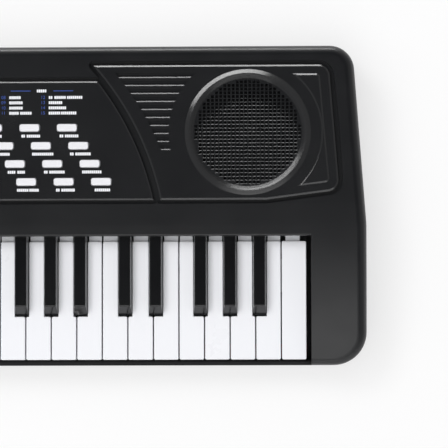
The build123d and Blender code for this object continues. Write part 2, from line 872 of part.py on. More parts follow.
with BuildPart() as key_frame:
    with BuildSketch(Plane.XY.offset(bed_height)):
        with Locations((0, bed_front)):
            Rectangle(key_field, pivot_y + bed_behind_pivot - bed_front, align=(Align.CENTER, Align.MIN))
    extrude(amount=bed_thickness)
    with BuildSketch(Plane.XY.offset(bed_top)):
        with Locations((0, bed_front)):
            Rectangle(key_field, felt_width, align=(Align.CENTER, Align.MIN))
    extrude(amount=felt_ledge)
    # Pivot rail with a beaded top.
    with BuildSketch(Plane.YZ.offset(-key_field / 2)):
        with Locations((pivot_y, bed_top)):
            Rectangle(rail_web, pivot_height - bed_top, align=(Align.CENTER, Align.MIN))
        with Locations((pivot_y, pivot_height)):
            Circle(rail_radius)
    extrude(amount=key_field)
    # Guide blades that stand up inside the keys.
    white_guide = white_pitch - key_gap - 2 * key_wall - 2 * guide_clearance
    black_guide = black_width - 2 * key_wall - 2 * guide_clearance
    with BuildSketch(Plane.XY.offset(bed_top)):
        with Locations(*[(x, key_front + white_guide_y) for x in head_centres]):
            Rectangle(white_guide, guide_thickness)
    extrude(amount=white_skirt + guide_overlap - bed_top)
    with BuildSketch(Plane.XY.offset(bed_top)):
        with Locations(*[(x, key_front + black_guide_y) for x in black_centres]):
            Rectangle(black_guide, guide_thickness)
    extrude(amount=black_skirt + guide_overlap - bed_top)
save(key_frame, "key_frame")

with BuildPart() as key_felt:
    with BuildSketch(Plane.XY.offset(felt_base)):
        with Locations((0, bed_front)):
            Rectangle(key_field, felt_width, align=(Align.CENTER, Align.MIN))
    extrude(amount=felt_thickness)
save(key_felt, "key_felt")

contact_middle = key_front + (white_contact_y + black_contact_y) / 2

with BuildPart() as contact_board:
    with BuildSketch(Plane.XY.offset(bed_top)):
        with Locations((0, contact_middle)):
            Rectangle(key_field, contact_board_depth)
    extrude(amount=board_thickness)
save(contact_board, "contact_board")

with BuildPart() as contact_rubber:
    with BuildSketch(Plane.XY.offset(bed_top + board_thickness)):
        with Locations((0, contact_middle)):
            Rectangle(key_field, contact_board_depth)
    extrude(amount=contact_sheet)
    with BuildSketch(Plane.XY.offset(dome_peak - dome_height)):
        with Locations(*[(x, key_front + white_contact_y) for x in white_centres]):
            RegularPolygon(dome_base / 2, dome_sides)
        with Locations(*[(x, key_front + black_contact_y) for x in black_centres]):
            RegularPolygon(dome_base / 2, dome_sides)
    extrude(amount=dome_height, taper=degrees(asin((dome_base - dome_top) / 2 / dome_height)))
save(contact_rubber, "contact_rubber")

# ------------------------------------------------------------------ speakers

coil_level = driver_top - driver_depth


def revolved_driver_part(profile_points):
    """Two solids of revolution about the speaker centres, from points (radius, height)."""
    with BuildPart() as piece:
        for x, y in speaker_spots:
            with BuildSketch(Plane.XZ.offset(-y)):
                with Locations((x, 0)):
                    with BuildLine(mode=Mode.PRIVATE) as outline:
                        Polyline(*profile_points, close=True)
                    add(make_face(outline.edges(), mode=Mode.PRIVATE))
            revolve(axis=Axis((x, y, 0), (0, 0, 1)))
    return piece


speaker_frames = revolved_driver_part(
    [
        (driver_radius, driver_top),
        (driver_radius, driver_top - driver_flange),
        (driver_cone_radius, driver_top - driver_flange),
        (driver_cone_radius, coil_level),
        (0, coil_level),
        (0, coil_level + driver_flange),
        (driver_cone_radius - driver_flange, coil_level + driver_flange),
        (driver_cone_radius - driver_flange, driver_top),
    ]
)
save(speaker_frames, "speaker_frames")

speaker_magnets = revolved_driver_part(
    [
        (0, coil_level),
        (driver_magnet_radius, coil_level),
        (driver_magnet_radius, coil_level - driver_magnet_height),
        (0, coil_level - driver_magnet_height),
    ]
)
save(speaker_magnets, "speaker_magnets")

cone_low = coil_level + 2 * driver_flange
speaker_cones = revolved_driver_part(
    [
        (driver_cone_radius + driver_flange, driver_top),
        (driver_cone_radius + driver_flange, driver_top + cone_thickness),
        (driver_cone_radius - 2 * driver_flange, driver_top + cone_thickness),
        (driver_coil_radius, cone_low + cone_thickness),
        (0, cone_low + cone_thickness),
        (0, cone_low),
        (driver_coil_radius, cone_low),
        (driver_cone_radius - 2 * driver_flange, driver_top),
    ]
)
save(speaker_cones, "speaker_cones")

# ------------------------------------------------------------------ main board, sockets and switch

with BuildPart() as main_board:
    with BuildSketch(Plane.XY.offset(main_board_height)):
        with Locations((0, panel_front)):
            Rectangle(
                2 * main_board_half_width,
                rear - board_from_rear - panel_front,
                align=(Align.CENTER, Align.MIN),
            )
        with Locations((0, panel_front)):
            Rectangle(
                2 * board_tab_half_width,
                rear - wall - board_tab_gap - panel_front,
                align=(Align.CENTER, Align.MIN),
            )
    extrude(amount=board_thickness)
    with BuildSketch(Plane.XY.offset(main_board_height)):
        with Locations((0, bay_centre)):
            Rectangle(chip_size, chip_size)
    extrude(amount=-chip_height)
    with BuildSketch(Plane.XY.offset(main_board_height)):
        with Locations((-2 * chip_size, bay_centre), (2 * chip_size, bay_centre)):
            Circle(capacitor_radius)
    extrude(amount=-capacitor_height)
    switch_body_rear = rear - wall - 2 * switch_gap - switch_slider_thickness
    with BuildSketch(Plane.XY.offset(main_board_height)):
        with Locations((switch_x, switch_body_rear)):
            Rectangle(switch_body_width, switch_body_depth, align=(Align.CENTER, Align.MAX))
    extrude(amount=-socket_height)
save(main_board, "main_board")

with BuildPart() as rear_sockets:
    with BuildSketch(Plane.XZ.offset(wall - rear)):
        with Locations(*socket_spots):
            Rectangle(socket_width, socket_height)
    extrude(amount=socket_depth)
    with BuildSketch(Plane.XZ.offset(-rear)):
        with Locations(*socket_spots):
            Circle(socket_nose)
    extrude(amount=wall)
    with BuildSketch(Plane.XZ.offset(-rear)):
        with Locations(socket_spots[0]):
            Circle(power_bore)
        with Locations(*socket_spots[1:]):
            Circle(jack_bore)
    extrude(amount=wall + socket_depth, mode=Mode.SUBTRACT)
save(rear_sockets, "rear_sockets")

with BuildPart() as power_switch:
    knob_x = switch_x - switch_travel / 2
    slider_front = rear - wall - switch_gap
    with BuildSketch(Plane.XZ.offset(-slider_front)):
        with Locations((knob_x, socket_z)):
            Rectangle(switch_slider_width + switch_travel, switch_slot_height + 2 * switch_gap)
    extrude(amount=switch_slider_thickness)
    with BuildSketch(Plane.XZ.offset(-slider_front)):
        with Locations((knob_x, socket_z)):
            Rectangle(switch_knob_width, switch_knob_height)
    extrude(amount=-(switch_gap + wall - switch_knob_sunk))
save(power_switch, "power_switch")

# ------------------------------------------------------------------ battery door and contacts

door_width = bay_width + 2 * door_ledge - 2 * door_clearance
door_length = bay_length + 2 * door_ledge - 2 * door_clearance

with BuildPart() as battery_door:
    with BuildSketch(Plane.XY.offset(case_bottom)):
        with Locations((0, bay_centre)):
            Rectangle(door_width, door_length)
    extrude(amount=door_thickness)
    hinge_edges = battery_door.edges().filter_by(Axis.X).group_by(Axis.Y)[-1]
    fillet(hinge_edges, 0.49 * door_thickness)
    with BuildSketch(Plane.XY.offset(case_bottom)):
        with Locations((0, bay_centre - door_length / 2 + 2 * door_grip_length)):
            RectangleRounded(door_grip_width, door_grip_length, door_grip_length / 2 - door_clearance)
    extrude(amount=door_grip_depth, mode=Mode.SUBTRACT)
save(battery_door, "battery_door")

with BuildPart() as battery_contacts:
    contact_z = floor_top + battery_slack + battery_radius
    for cell_index in range(battery_cells):
        cell_x = (cell_index - (battery_cells - 1) / 2) * (2 * battery_radius + battery_slack)
        for side in (-1, 1):
            plate_y = bay_centre + side * bay_length / 2
            with BuildSketch(Plane.XZ.offset(-plate_y)):
                with Locations((cell_x, contact_z)):
                    Rectangle(contact_width, contact_width)
            extrude(amount=side * contact_plate)
            if (cell_index % 2 == 0) == (side > 0):
                with BuildSketch(Plane.XZ.offset(side * contact_plate - plate_y)):
                    with Locations((cell_x, contact_z)):
                        Rectangle(contact_width / 3, contact_width / 3)
                extrude(amount=side * contact_spring, taper=contact_taper)
save(battery_contacts, "battery_contacts")

# ------------------------------------------------------------------ feet

with BuildPart() as rubber_feet:
    with BuildSketch():
        with Locations(*foot_spots):
            Circle(foot_radius)
    extrude(amount=foot_height)
save(rubber_feet, "rubber_feet")
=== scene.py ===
"""Looks of the toy electronic keyboard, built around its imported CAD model.

Lengths are in millimetres, except where a name ends in _m, and a mesh is brought to metres when it
becomes a piece. X runs from bass to treble, Y from the player to the rear and Z up.
"""

import logging
import math
from collections.abc import Iterable, Mapping, Sequence
from dataclasses import dataclass
from enum import Enum

import bmesh
import bpy
from mathutils import Matrix, Vector


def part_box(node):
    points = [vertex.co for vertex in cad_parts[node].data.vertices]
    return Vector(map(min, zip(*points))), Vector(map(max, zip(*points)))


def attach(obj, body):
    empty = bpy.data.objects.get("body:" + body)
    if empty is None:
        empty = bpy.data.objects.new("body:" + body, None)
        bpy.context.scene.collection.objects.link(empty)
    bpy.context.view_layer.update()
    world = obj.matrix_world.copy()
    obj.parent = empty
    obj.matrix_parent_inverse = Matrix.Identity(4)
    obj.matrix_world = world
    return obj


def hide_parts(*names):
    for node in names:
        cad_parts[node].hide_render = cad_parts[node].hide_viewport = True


LOG = logging.getLogger("toy_keyboard")
MM = 0.001
Point = tuple[float, float]
Place = tuple[float, float, float]
Colour = tuple[float, float, float]
BMesh = bmesh.types.BMesh

NEAR = 0.01  # what lies closer than this is at the same height
SAME = 1e-4  # points closer than this are one
LEVEL = 0.9  # upward share of the normal of a face that counts as level
CUT_PAST = 1.0  # cutting shapes reach this far beyond what they cut
CUT_THROUGH = 20.0  # height of a disc that cuts through a panel
PANEL_ANGLE = 32.0  # edges of the trim panels that turn more than this stay sharp


# ---------------------------------------------------------------- finishes


class Slot(Enum):
    """Material slots of the record."""

    CASE = "case_plastic"
    SPEAKER_PANEL = "speaker_panel_plastic"
    CONTROL_PANEL = "control_panel_plastic"
    WHITE_KEY = "white_key_plastic"
    BLACK_KEY = "black_key_plastic"
    BUTTON = "button_rubber"
    KEY_FRAME = "frame_plastic"
    FELT = "felt"
    BOARD = "circuit_board"
    CONTACT_RUBBER = "contact_silicone"
    SPEAKER_STEEL = "speaker_steel"
    SPEAKER_PAPER = "speaker_paper"
    MAGNET = "magnet"
    CONTACT_STEEL = "contact_steel"
    SOCKET = "socket_plastic"
    FOOT = "foot_rubber"
    SWITCH = "switch_plastic"
    DOOR = "door_plastic"


class Ink(Enum):
    """Inks printed on the control panel."""

    WHITE = "white_ink"
    BLUE = "blue_ink"


@dataclass(frozen=True)
class MouldedFinish:
    """Plastic, rubber or ink with a fine moulded grain and faint uneven gloss.

    Attributes:
        colour: Base colour, linear.
        shade: Colour of the faintly different patches.
        gloss: Lowest and highest roughness over the surface.
        grain_size: Size of one grain of the surface.
        grain_depth: Height of the grain.
        specular: Strength of the surface reflection.
        coat: Weight of a clear, polished top layer.
        coat_roughness: Roughness of that layer.
    """

    colour: Colour
    shade: Colour
    gloss: Point
    grain_size: float = 0.35
    grain_depth: float = 0.012
    specular: float = 0.5
    coat: float = 0.0
    coat_roughness: float = 0.12


@dataclass(frozen=True)
class MetalFinish:
    """Bare or plated metal with fine drawn lines.

    Attributes:
        colour: Base colour, linear.
        gloss: Lowest and highest roughness over the surface.
        line_size: Distance between drawn lines.
        line_depth: Depth of the lines.
    """

    colour: Colour
    gloss: Point
    line_size: float = 0.2
    line_depth: float = 0.01

    @property
    def shade(self) -> Colour:
        """Metal has one colour all over."""
        return self.colour


@dataclass(frozen=True)
class FibreFinish:
    """Felt or paper made of matted fibres.

    Attributes:
        colour: Base colour, linear.
        shade: Colour between the fibres.
        fibre_size: Width of a tuft of fibres.
        fibre_depth: Height of the tufts.
        gloss: Lowest and highest roughness over the surface.
    """

    colour: Colour
    shade: Colour
    fibre_size: float = 0.5
    fibre_depth: float = 0.15
    gloss: Point = (0.85, 0.98)


Finish = MouldedFinish | MetalFinish | FibreFinish

FINISHES: dict[Slot | Ink, Finish] = {
    Slot.CASE: MouldedFinish(
        (0.0045, 0.0049, 0.0060), (0.0058, 0.0062, 0.0074), (0.31, 0.39), 0.45, 0.008
    ),
    Slot.SPEAKER_PANEL: MouldedFinish(
        (0.0090, 0.0094, 0.0105), (0.0108, 0.0112, 0.0124), (0.20, 0.27), 0.40, 0.005
    ),
    Slot.CONTROL_PANEL: MouldedFinish(
        (0.0090, 0.0094, 0.0105), (0.0106, 0.0110, 0.0122), (0.22, 0.28), 0.30, 0.004
    ),
    Slot.WHITE_KEY: MouldedFinish((0.85, 0.857, 0.89), (0.846, 0.853, 0.886), (0.27, 0.30), 0.80, 0.003),
    Slot.BLACK_KEY: MouldedFinish(
        (0.0032, 0.0035, 0.0042), (0.0042, 0.0045, 0.0053), (0.17, 0.23), 0.60, 0.004
    ),
    Slot.BUTTON: MouldedFinish((0.80, 0.80, 0.83), (0.77, 0.77, 0.80), (0.48, 0.58), 0.30, 0.006, 0.40),
    Slot.KEY_FRAME: MouldedFinish((0.040, 0.041, 0.044), (0.050, 0.051, 0.055), (0.45, 0.60), 0.50, 0.010),
    Slot.FELT: FibreFinish((0.30, 0.030, 0.035), (0.16, 0.012, 0.015), 0.35),
    Slot.BOARD: MouldedFinish((0.28, 0.17, 0.06), (0.20, 0.12, 0.04), (0.35, 0.55), 1.20, 0.010),
    Slot.CONTACT_RUBBER: MouldedFinish(
        (0.36, 0.37, 0.38), (0.30, 0.31, 0.32), (0.55, 0.70), 0.40, 0.008, 0.40
    ),
    Slot.SPEAKER_STEEL: MetalFinish((0.10, 0.10, 0.11), (0.35, 0.50), 0.30),
    Slot.SPEAKER_PAPER: FibreFinish((0.012, 0.012, 0.013), (0.005, 0.005, 0.006), 0.60),
    Slot.MAGNET: MetalFinish((0.06, 0.06, 0.065), (0.55, 0.70), 0.50),
    Slot.CONTACT_STEEL: MetalFinish((0.62, 0.62, 0.60), (0.18, 0.32), 0.15),
    Slot.SOCKET: MouldedFinish((0.010, 0.010, 0.011), (0.014, 0.014, 0.015), (0.35, 0.50), 0.30, 0.006),
    Slot.FOOT: MouldedFinish((0.020, 0.020, 0.021), (0.028, 0.028, 0.029), (0.70, 0.85), 0.40, 0.015, 0.30),
    Slot.SWITCH: MouldedFinish((0.012, 0.012, 0.013), (0.016, 0.016, 0.017), (0.35, 0.48), 0.30, 0.006),
    Slot.DOOR: MouldedFinish(
        (0.0050, 0.0054, 0.0064), (0.0064, 0.0068, 0.0078), (0.35, 0.44), 0.45, 0.008
    ),
    Ink.WHITE: MouldedFinish((0.86, 0.87, 0.90), (0.80, 0.81, 0.85), (0.45, 0.60), 0.15, 0.004),
    Ink.BLUE: MouldedFinish((0.030, 0.075, 0.34), (0.022, 0.058, 0.28), (0.45, 0.60), 0.15, 0.004),
}


class NodeSheet:
    """A node tree that nodes are added to and joined in."""

    def __init__(self, tree: bpy.types.NodeTree) -> None:
        """Starts from an empty tree.

        Args:
            tree: The tree to fill.
        """
        self.tree = tree
        tree.nodes.clear()

    def add(
        self, kind: str, inputs: Mapping[str | int, object] | None = None, **settings: object
    ) -> bpy.types.Node:
        """Adds a node.

        Args:
            kind: Blender's name of the node type.
            inputs: For each input, the output that feeds it or its own value.
            **settings: Attributes to set on the node first.

        Returns:
            The new node.
        """
        node = self.tree.nodes.new(kind)
        for name, value in settings.items():
            setattr(node, name, value)
        for name, value in (inputs or {}).items():
            if isinstance(value, bpy.types.NodeSocket):
                self.tree.links.new(value, node.inputs[name])
            else:
                node.inputs[name].default_value = value
        return node


class SurfaceGroups:
    """Shader node groups that the materials share."""

    def __init__(self) -> None:
        """Builds each group once."""
        self.grain = self._make_grain()
        self.patches = self._make_patches()
        self.lines = self._make_lines()

    @staticmethod
    def _open(name: str, **inputs: tuple[str, object]) -> tuple[NodeSheet, bpy.types.NodeOutputs]:
        """Starts a group with named inputs, which all begin with the vector that it reads.

        Args:
            name: Name of the group.
            **inputs: Socket type and default value by socket name, with underscores for spaces.

        Returns:
            The sheet, and the outputs of its input node.
        """
        tree = bpy.data.node_groups.new(name, "ShaderNodeTree")
        for label, (kind, default) in {"Vector": ("Vector", None), **inputs}.items():
            words, socket_type = label.replace("_", " "), f"NodeSocket{kind}"
            socket = tree.interface.new_socket(words, in_out="INPUT", socket_type=socket_type)
            if default is not None:
                socket.default_value = default
        sheet = NodeSheet(tree)
        return sheet, sheet.add("NodeGroupInput").outputs

    @staticmethod
    def _close(sheet: NodeSheet, **outputs: tuple[str, bpy.types.NodeSocket]) -> bpy.types.NodeTree:
        """Ends a group with named outputs.

        Args:
            sheet: The group's sheet.
            **outputs: Socket type and what feeds it, by socket name.

        Returns:
            The group.
        """
        for label, (kind, _) in outputs.items():
            sheet.tree.interface.new_socket(label, in_out="OUTPUT", socket_type=f"NodeSocket{kind}")
        sheet.add("NodeGroupOutput", {label: source for label, (_, source) in outputs.items()})
        return sheet.tree

    def _make_grain(self) -> bpy.types.NodeTree:
        """Makes the height of a fine moulded grain.

        Returns:
            The group.
        """
        sheet, given = self._open("moulded_grain", Grains_per_Metre=("Float", 2500.0))
        scale = given["Grains per Metre"]
        noise = sheet.add("ShaderNodeTexNoise", {"Detail": 2.0, "Vector": given["Vector"], "Scale": scale})
        return self._close(sheet, Height=("Float", noise.outputs["Fac"]))

    def _make_patches(self) -> bpy.types.NodeTree:
        """Makes faint broad patches of another shade and gloss.

        Returns:
            The group.
        """
        sheet, given = self._open(
            "uneven_patches",
            Patches_per_Metre=("Float", 30.0),
            Colour=("Color", None),
            Shade=("Color", None),
            Low_Roughness=("Float", 0.4),
            High_Roughness=("Float", 0.5),
        )
        noise = sheet.add(
            "ShaderNodeTexNoise",
            {"Detail": 5.0, "Roughness": 0.6, "Vector": given["Vector"], "Scale": given["Patches per Metre"]},
        ).outputs["Fac"]
        tint = sheet.add(
            "ShaderNodeMix", {"Factor": noise, "A": given["Colour"], "B": given["Shade"]}, data_type="RGBA"
        )
        low, high = given["Low Roughness"], given["High Roughness"]
        spread = {"Value": noise, "From Min": 0.3, "From Max": 0.7, "To Min": low, "To Max": high}
        gloss = sheet.add("ShaderNodeMapRange", spread)
        return self._close(
            sheet, Colour=("Color", tint.outputs["Result"]), Roughness=("Float", gloss.outputs["Result"])
        )

    def _make_lines(self) -> bpy.types.NodeTree:
        """Makes the height of fine lines drawn along X.

        Returns:
            The group.
        """
        sheet, given = self._open("drawn_lines", Lines_per_Metre=("Float", 4000.0))
        stretch = sheet.add(
            "ShaderNodeVectorMath", {0: given["Vector"], 1: (0.04, 1.0, 1.0)}, operation="MULTIPLY"
        ).outputs["Vector"]
        noise = sheet.add("ShaderNodeTexNoise", {"Vector": stretch, "Scale": given["Lines per Metre"]})
        return self._close(sheet, Height=("Float", noise.outputs["Fac"]))


class Finisher:
    """Makes the materials and gives each piece its own."""

    PATCH_SIZE = 35.0

    def __init__(self) -> None:
        """Makes one material for each finish."""
        self.groups = SurfaceGroups()
        self.materials = {slot: self._make(slot, finish) for slot, finish in FINISHES.items()}

    def _make(self, slot: Slot | Ink, finish: Finish) -> bpy.types.Material:
        """Makes the material of one finish.

        Args:
            slot: Slot or ink that the material is for.
            finish: Its colours, gloss and relief.

        Returns:
            The material.
        """
        patch_size = self.PATCH_SIZE
        relief, relief_name = self.groups.grain, "Grains per Metre"
        match finish:
            case MouldedFinish():
                own = {
                    "Specular IOR Level": finish.specular,
                    "Coat Weight": finish.coat,
                    "Coat Roughness": finish.coat_roughness,
                }
                size, depth = finish.grain_size, finish.grain_depth
            case MetalFinish():
                own = {"Metallic": 1.0}
                relief, relief_name = self.groups.lines, "Lines per Metre"
                size, depth = finish.line_size, finish.line_depth
            case FibreFinish():
                own = {}
                patch_size = size = finish.fibre_size
                depth = finish.fibre_depth
        material = bpy.data.materials.new(slot.value)
        material.use_nodes = True
        sheet = NodeSheet(material.node_tree)
        place = sheet.add("ShaderNodeTexCoord").outputs["Object"]
        spread = {
            "Vector": place,
            "Patches per Metre": 1 / (patch_size * MM),
            "Colour": (*finish.colour, 1.0),
            "Shade": (*finish.shade, 1.0),
            "Low Roughness": finish.gloss[0],
            "High Roughness": finish.gloss[1],
        }
        patches = sheet.add("ShaderNodeGroup", spread, node_tree=self.groups.patches).outputs
        fine = {"Vector": place, relief_name: 1 / (size * MM)}
        height = sheet.add("ShaderNodeGroup", fine, node_tree=relief).outputs["Height"]
        normal = sheet.add("ShaderNodeBump", {"Distance": depth * MM, "Height": height}).outputs["Normal"]
        own |= {"Base Color": patches["Colour"], "Roughness": patches["Roughness"], "Normal": normal}
        shader = sheet.add("ShaderNodeBsdfPrincipled", own)
        sheet.add("ShaderNodeOutputMaterial", {"Surface": shader.outputs["BSDF"]})
        return material

    def dress(self, piece: bpy.types.Object, slot: Slot | Ink) -> None:
        """Gives a piece the material of a slot or ink."""
        piece.data.materials.clear()
        piece.data.materials.append(self.materials[slot])


# ---------------------------------------------------------------- modelling


def rectangle(centre: Point, length: float, width: float) -> list[Point]:
    """Corners of a rectangle.

    Args:
        centre: Its middle.
        length: Its size along the first axis.
        width: Its size along the second axis.

    Returns:
        The four corners, anticlockwise.
    """
    left, right = (centre[0] + way * length / 2 for way in (-1, 1))
    near, far = (centre[1] + way * width / 2 for way in (-1, 1))
    return [(left, near), (right, near), (right, far), (left, far)]


def rounded_corners(points: Sequence[Point], radii: Sequence[float], steps: int = 6) -> list[Point]:
    """Rounds the corners of a closed outline.

    Args:
        points: Corners of the outline in order.
        radii: Radius of each corner, 0 for a sharp one.
        steps: Segments in each rounded corner.

    Returns:
        The outline's points.
    """
    outline: list[Point] = []
    for index, (corner, radius) in enumerate(zip(points, radii)):
        here = Vector(corner)
        if radius <= 0:
            outline.append(corner)
            continue
        back = (Vector(points[index - 1]) - here).normalized()
        ahead = (Vector(points[(index + 1) % len(points)]) - here).normalized()
        half_angle = back.angle(ahead) / 2
        centre = here + (back + ahead).normalized() * radius / math.sin(half_angle)
        start = here + back * radius / math.tan(half_angle) - centre
        end = here + ahead * radius / math.tan(half_angle) - centre
        sweep = start.angle_signed(end)
        for step in range(steps + 1):
            turned = start.copy()
            turned.rotate(Matrix.Rotation(-sweep * step / steps, 2))
            outline.append(tuple(centre + turned))
    return outline


def bowed_line(start: Point, end: Point, bow: float, steps: int = 16) -> list[Point]:
    """Points of a shallow arc between two points, without its end.

    Args:
        start: First point.
        end: Last point.
        bow: Greatest distance from the straight line, to the left of the way.
        steps: Number of segments.

    Returns:
        Points from the first point on.
    """
    first, last = Vector(start), Vector(end)
    across = (last - first).orthogonal().normalized()
    points = []
    for share in (step / steps for step in range(steps)):
        points.append(tuple(first.lerp(last, share) + across * bow * 4 * share * (1 - share)))
    return points


def finished_mesh(name: str, bm: BMesh) -> bpy.types.Mesh:
    """Makes a mesh for objects.

    Args:
        name: Its name.
        bm: Its shape, freed.

    Returns:
        The mesh.
    """
    mesh = bpy.data.meshes.new(name)
    bm.to_mesh(mesh)
    bm.free()
    return mesh


def new_object(name: str, data: bpy.types.ID) -> bpy.types.Object:
    """Makes an object and puts it in the scene.

    Args:
        name: Its name.
        data: What it shows.

    Returns:
        The object.
    """
    made = bpy.data.objects.new(name, data)
    bpy.context.scene.collection.objects.link(made)
    return made


def flat_face(bm: BMesh, points: Iterable[Point], height: float) -> bmesh.types.BMFace:
    """Makes one level face from an outline."""
    return bm.faces.new([bm.verts.new((x, y, height)) for x, y in points])


def upright_block(points: Sequence[Point], bottom: float, top: float) -> BMesh:
    """Makes a solid block from a plan outline.

    Args:
        points: Plan outline.
        bottom: Height of its underside.
        top: Height of its top.

    Returns:
        The block as a closed mesh.
    """
    bm = bmesh.new()
    face = flat_face(bm, points, bottom)
    raised = bmesh.ops.extrude_face_region(bm, geom=[face], use_keep_orig=True)["geom"]
    upper = [item for item in raised if isinstance(item, bmesh.types.BMVert)]
    bmesh.ops.translate(bm, vec=(0, 0, top - bottom), verts=upper)
    bmesh.ops.recalc_face_normals(bm, faces=bm.faces)
    return bm


def side_block(points: Sequence[Point], left: float, right: float) -> BMesh:
    """Makes a solid block from an outline in Y and Z.

    Args:
        points: Outline as (Y, Z).
        left: Lowest X.
        right: Highest X.

    Returns:
        The block as a closed mesh.
    """
    bm = upright_block(points, left, right)
    turn = Matrix(((0, 0, 1), (1, 0, 0), (0, 1, 0)))
    bmesh.ops.transform(bm, matrix=turn.to_4x4(), verts=bm.verts)
    bmesh.ops.recalc_face_normals(bm, faces=bm.faces)
    return bm


def turned_shape(profile: Sequence[Point], centre: Point, steps: int = 96) -> BMesh:
    """Turns a profile round an upright axis.

    Args:
        profile: Points as (radius, height).
        centre: Plan position of the axis.
        steps: Segments of the full turn.

    Returns:
        The turned mesh.
    """
    bm = bmesh.new()
    verts = [bm.verts.new((centre[0] + radius, centre[1], height)) for radius, height in profile]
    edges = [bm.edges.new(pair) for pair in zip(verts, verts[1:])]
    bmesh.ops.spin(
        bm, geom=verts + edges, cent=(*centre, 0), axis=(0, 0, 1), angle=math.tau, steps=steps, use_merge=True
    )
    bmesh.ops.remove_doubles(bm, verts=bm.verts, dist=SAME)
    bmesh.ops.recalc_face_normals(bm, faces=bm.faces)
    return bm


def upright_cylinder(
    middle: Place, radius: float, height: float, segments: int, top_radius: float | None = None
) -> BMesh:
    """Makes an upright cylinder, or a cone where its top has another radius.

    Args:
        middle: Its middle.
        radius: Its radius, or that of its underside.
        height: Its height.
        segments: Sides of the round.
        top_radius: Radius of its top.

    Returns:
        The closed mesh.
    """
    bm = bmesh.new()
    upper = radius if top_radius is None else top_radius
    bmesh.ops.create_cone(bm, cap_ends=True, segments=segments, radius1=radius, radius2=upper, depth=height)
    bmesh.ops.translate(bm, vec=middle, verts=bm.verts)
    return bm


def soften(bm: BMesh, edges: Iterable[bmesh.types.BMEdge], radius: float, segments: int = 3) -> None:
    """Rounds edges.

    Args:
        bm: The shape.
        edges: Edges to round.
        radius: Radius of the rounding.
        segments: Faces across it.
    """
    bmesh.ops.bevel(
        bm, geom=list(edges), offset=radius, segments=segments, profile=0.5, affect="EDGES", material=-1
    )


def top_faces(bm: BMesh, height: float) -> list[bmesh.types.BMFace]:
    """Faces that lie level at a height and look up."""
    upward = [face for face in bm.faces if face.normal.z > LEVEL]
    return [face for face in upward if abs(face.calc_center_median().z - height) < NEAR]


def slope_edge(bm: BMesh, height: float, width: float, rise: float) -> None:
    """Raises the flat top of a shape within a sloping edge.

    Args:
        bm: The shape.
        height: Height of the flat top.
        width: Width of the slope, seen from above.
        rise: Height of the slope.
    """
    bmesh.ops.inset_region(
        bm, faces=top_faces(bm, height), thickness=width, depth=rise, use_even_offset=True
    )


def edges_at(bm: BMesh, height: float) -> list[bmesh.types.BMEdge]:
    """Edges that lie level at a height."""
    return [edge for edge in bm.edges if all(abs(vert.co.z - height) < NEAR for vert in edge.verts)]


def merge_into(bm: BMesh, *others: BMesh) -> None:
    """Adds other meshes to a mesh.

    Args:
        bm: Mesh to add to.
        *others: Meshes to add, freed.
    """
    for other in others:
        passing = finished_mesh("passing", other)
        bm.from_mesh(passing)
        bpy.data.meshes.remove(passing)


def carve(bm: BMesh, cutter: BMesh, operation: str = "DIFFERENCE") -> BMesh:
    """Cuts a mesh with another one.

    Args:
        bm: Mesh to cut, freed.
        cutter: Cutting mesh, freed.
        operation: Name of the boolean operation.

    Returns:
        The result.
    """
    holders = [new_object("carving", finished_mesh("carving", source)) for source in (bm, cutter)]
    modifier = holders[0].modifiers.new("cut", "BOOLEAN")
    modifier.operation = operation
    modifier.solver = "EXACT"
    modifier.object = holders[1]
    bpy.context.view_layer.update()
    shaped = holders[0].evaluated_get(bpy.context.evaluated_depsgraph_get())
    result = bmesh.new()
    result.from_mesh(shaped.to_mesh())
    shaped.to_mesh_clear()
    for holder in holders:
        mesh = holder.data
        bpy.data.objects.remove(holder)
        bpy.data.meshes.remove(mesh)
    return result


@dataclass
class Workshop:
    """Turns finished meshes into pieces of the object.

    Attributes:
        finisher: Gives the pieces their materials.
    """

    finisher: Finisher

    def box(self, node: str) -> tuple[Vector, Vector]:
        """Lowest and highest corner of a CAD node."""
        low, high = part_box(node)
        return low / MM, high / MM

    def points(self, node: str) -> list[Vector]:
        """Vertices of a CAD node."""
        return [vert.co / MM for vert in bpy.data.objects[node].data.vertices]

    def keep(self, node: str, slot: Slot) -> None:
        """Dresses a CAD node that is shown as it is."""
        self.finisher.dress(bpy.data.objects[node], slot)
        LOG.info("%s kept, in %s", node, slot.value)

    def add(
        self,
        name: str,
        bm: BMesh,
        slot: Slot | Ink,
        body: str,
        stands_for: Sequence[str] = (),
        record_slot: Slot | None = None,
        sharp_angle: float = 40.0,
    ) -> bpy.types.Object:
        """record_slot: Slot of the record, if the finish is none; not used.
            sharp_angle: Edges that turn more than this stay sharp, in degrees.

        Returns:
            The piece.
        """
        bmesh.ops.scale(bm, vec=(MM, MM, MM), verts=bm.verts)
        mesh = finished_mesh(name, bm)
        mesh.polygons.foreach_set("use_smooth", [True] * len(mesh.polygons))
        mesh.set_sharp_from_angle(angle=math.radians(sharp_angle))
        piece = new_object(name, mesh)
        weighted = piece.modifiers.new("even shading", "WEIGHTED_NORMAL")
        weighted.keep_sharp = True
        self.finisher.dress(piece, slot)
        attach(piece, body)
        if stands_for:
            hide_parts(*stands_for)
        LOG.info("%s made, %d faces", name, len(mesh.polygons))
        return piece


# ---------------------------------------------------------------- keys


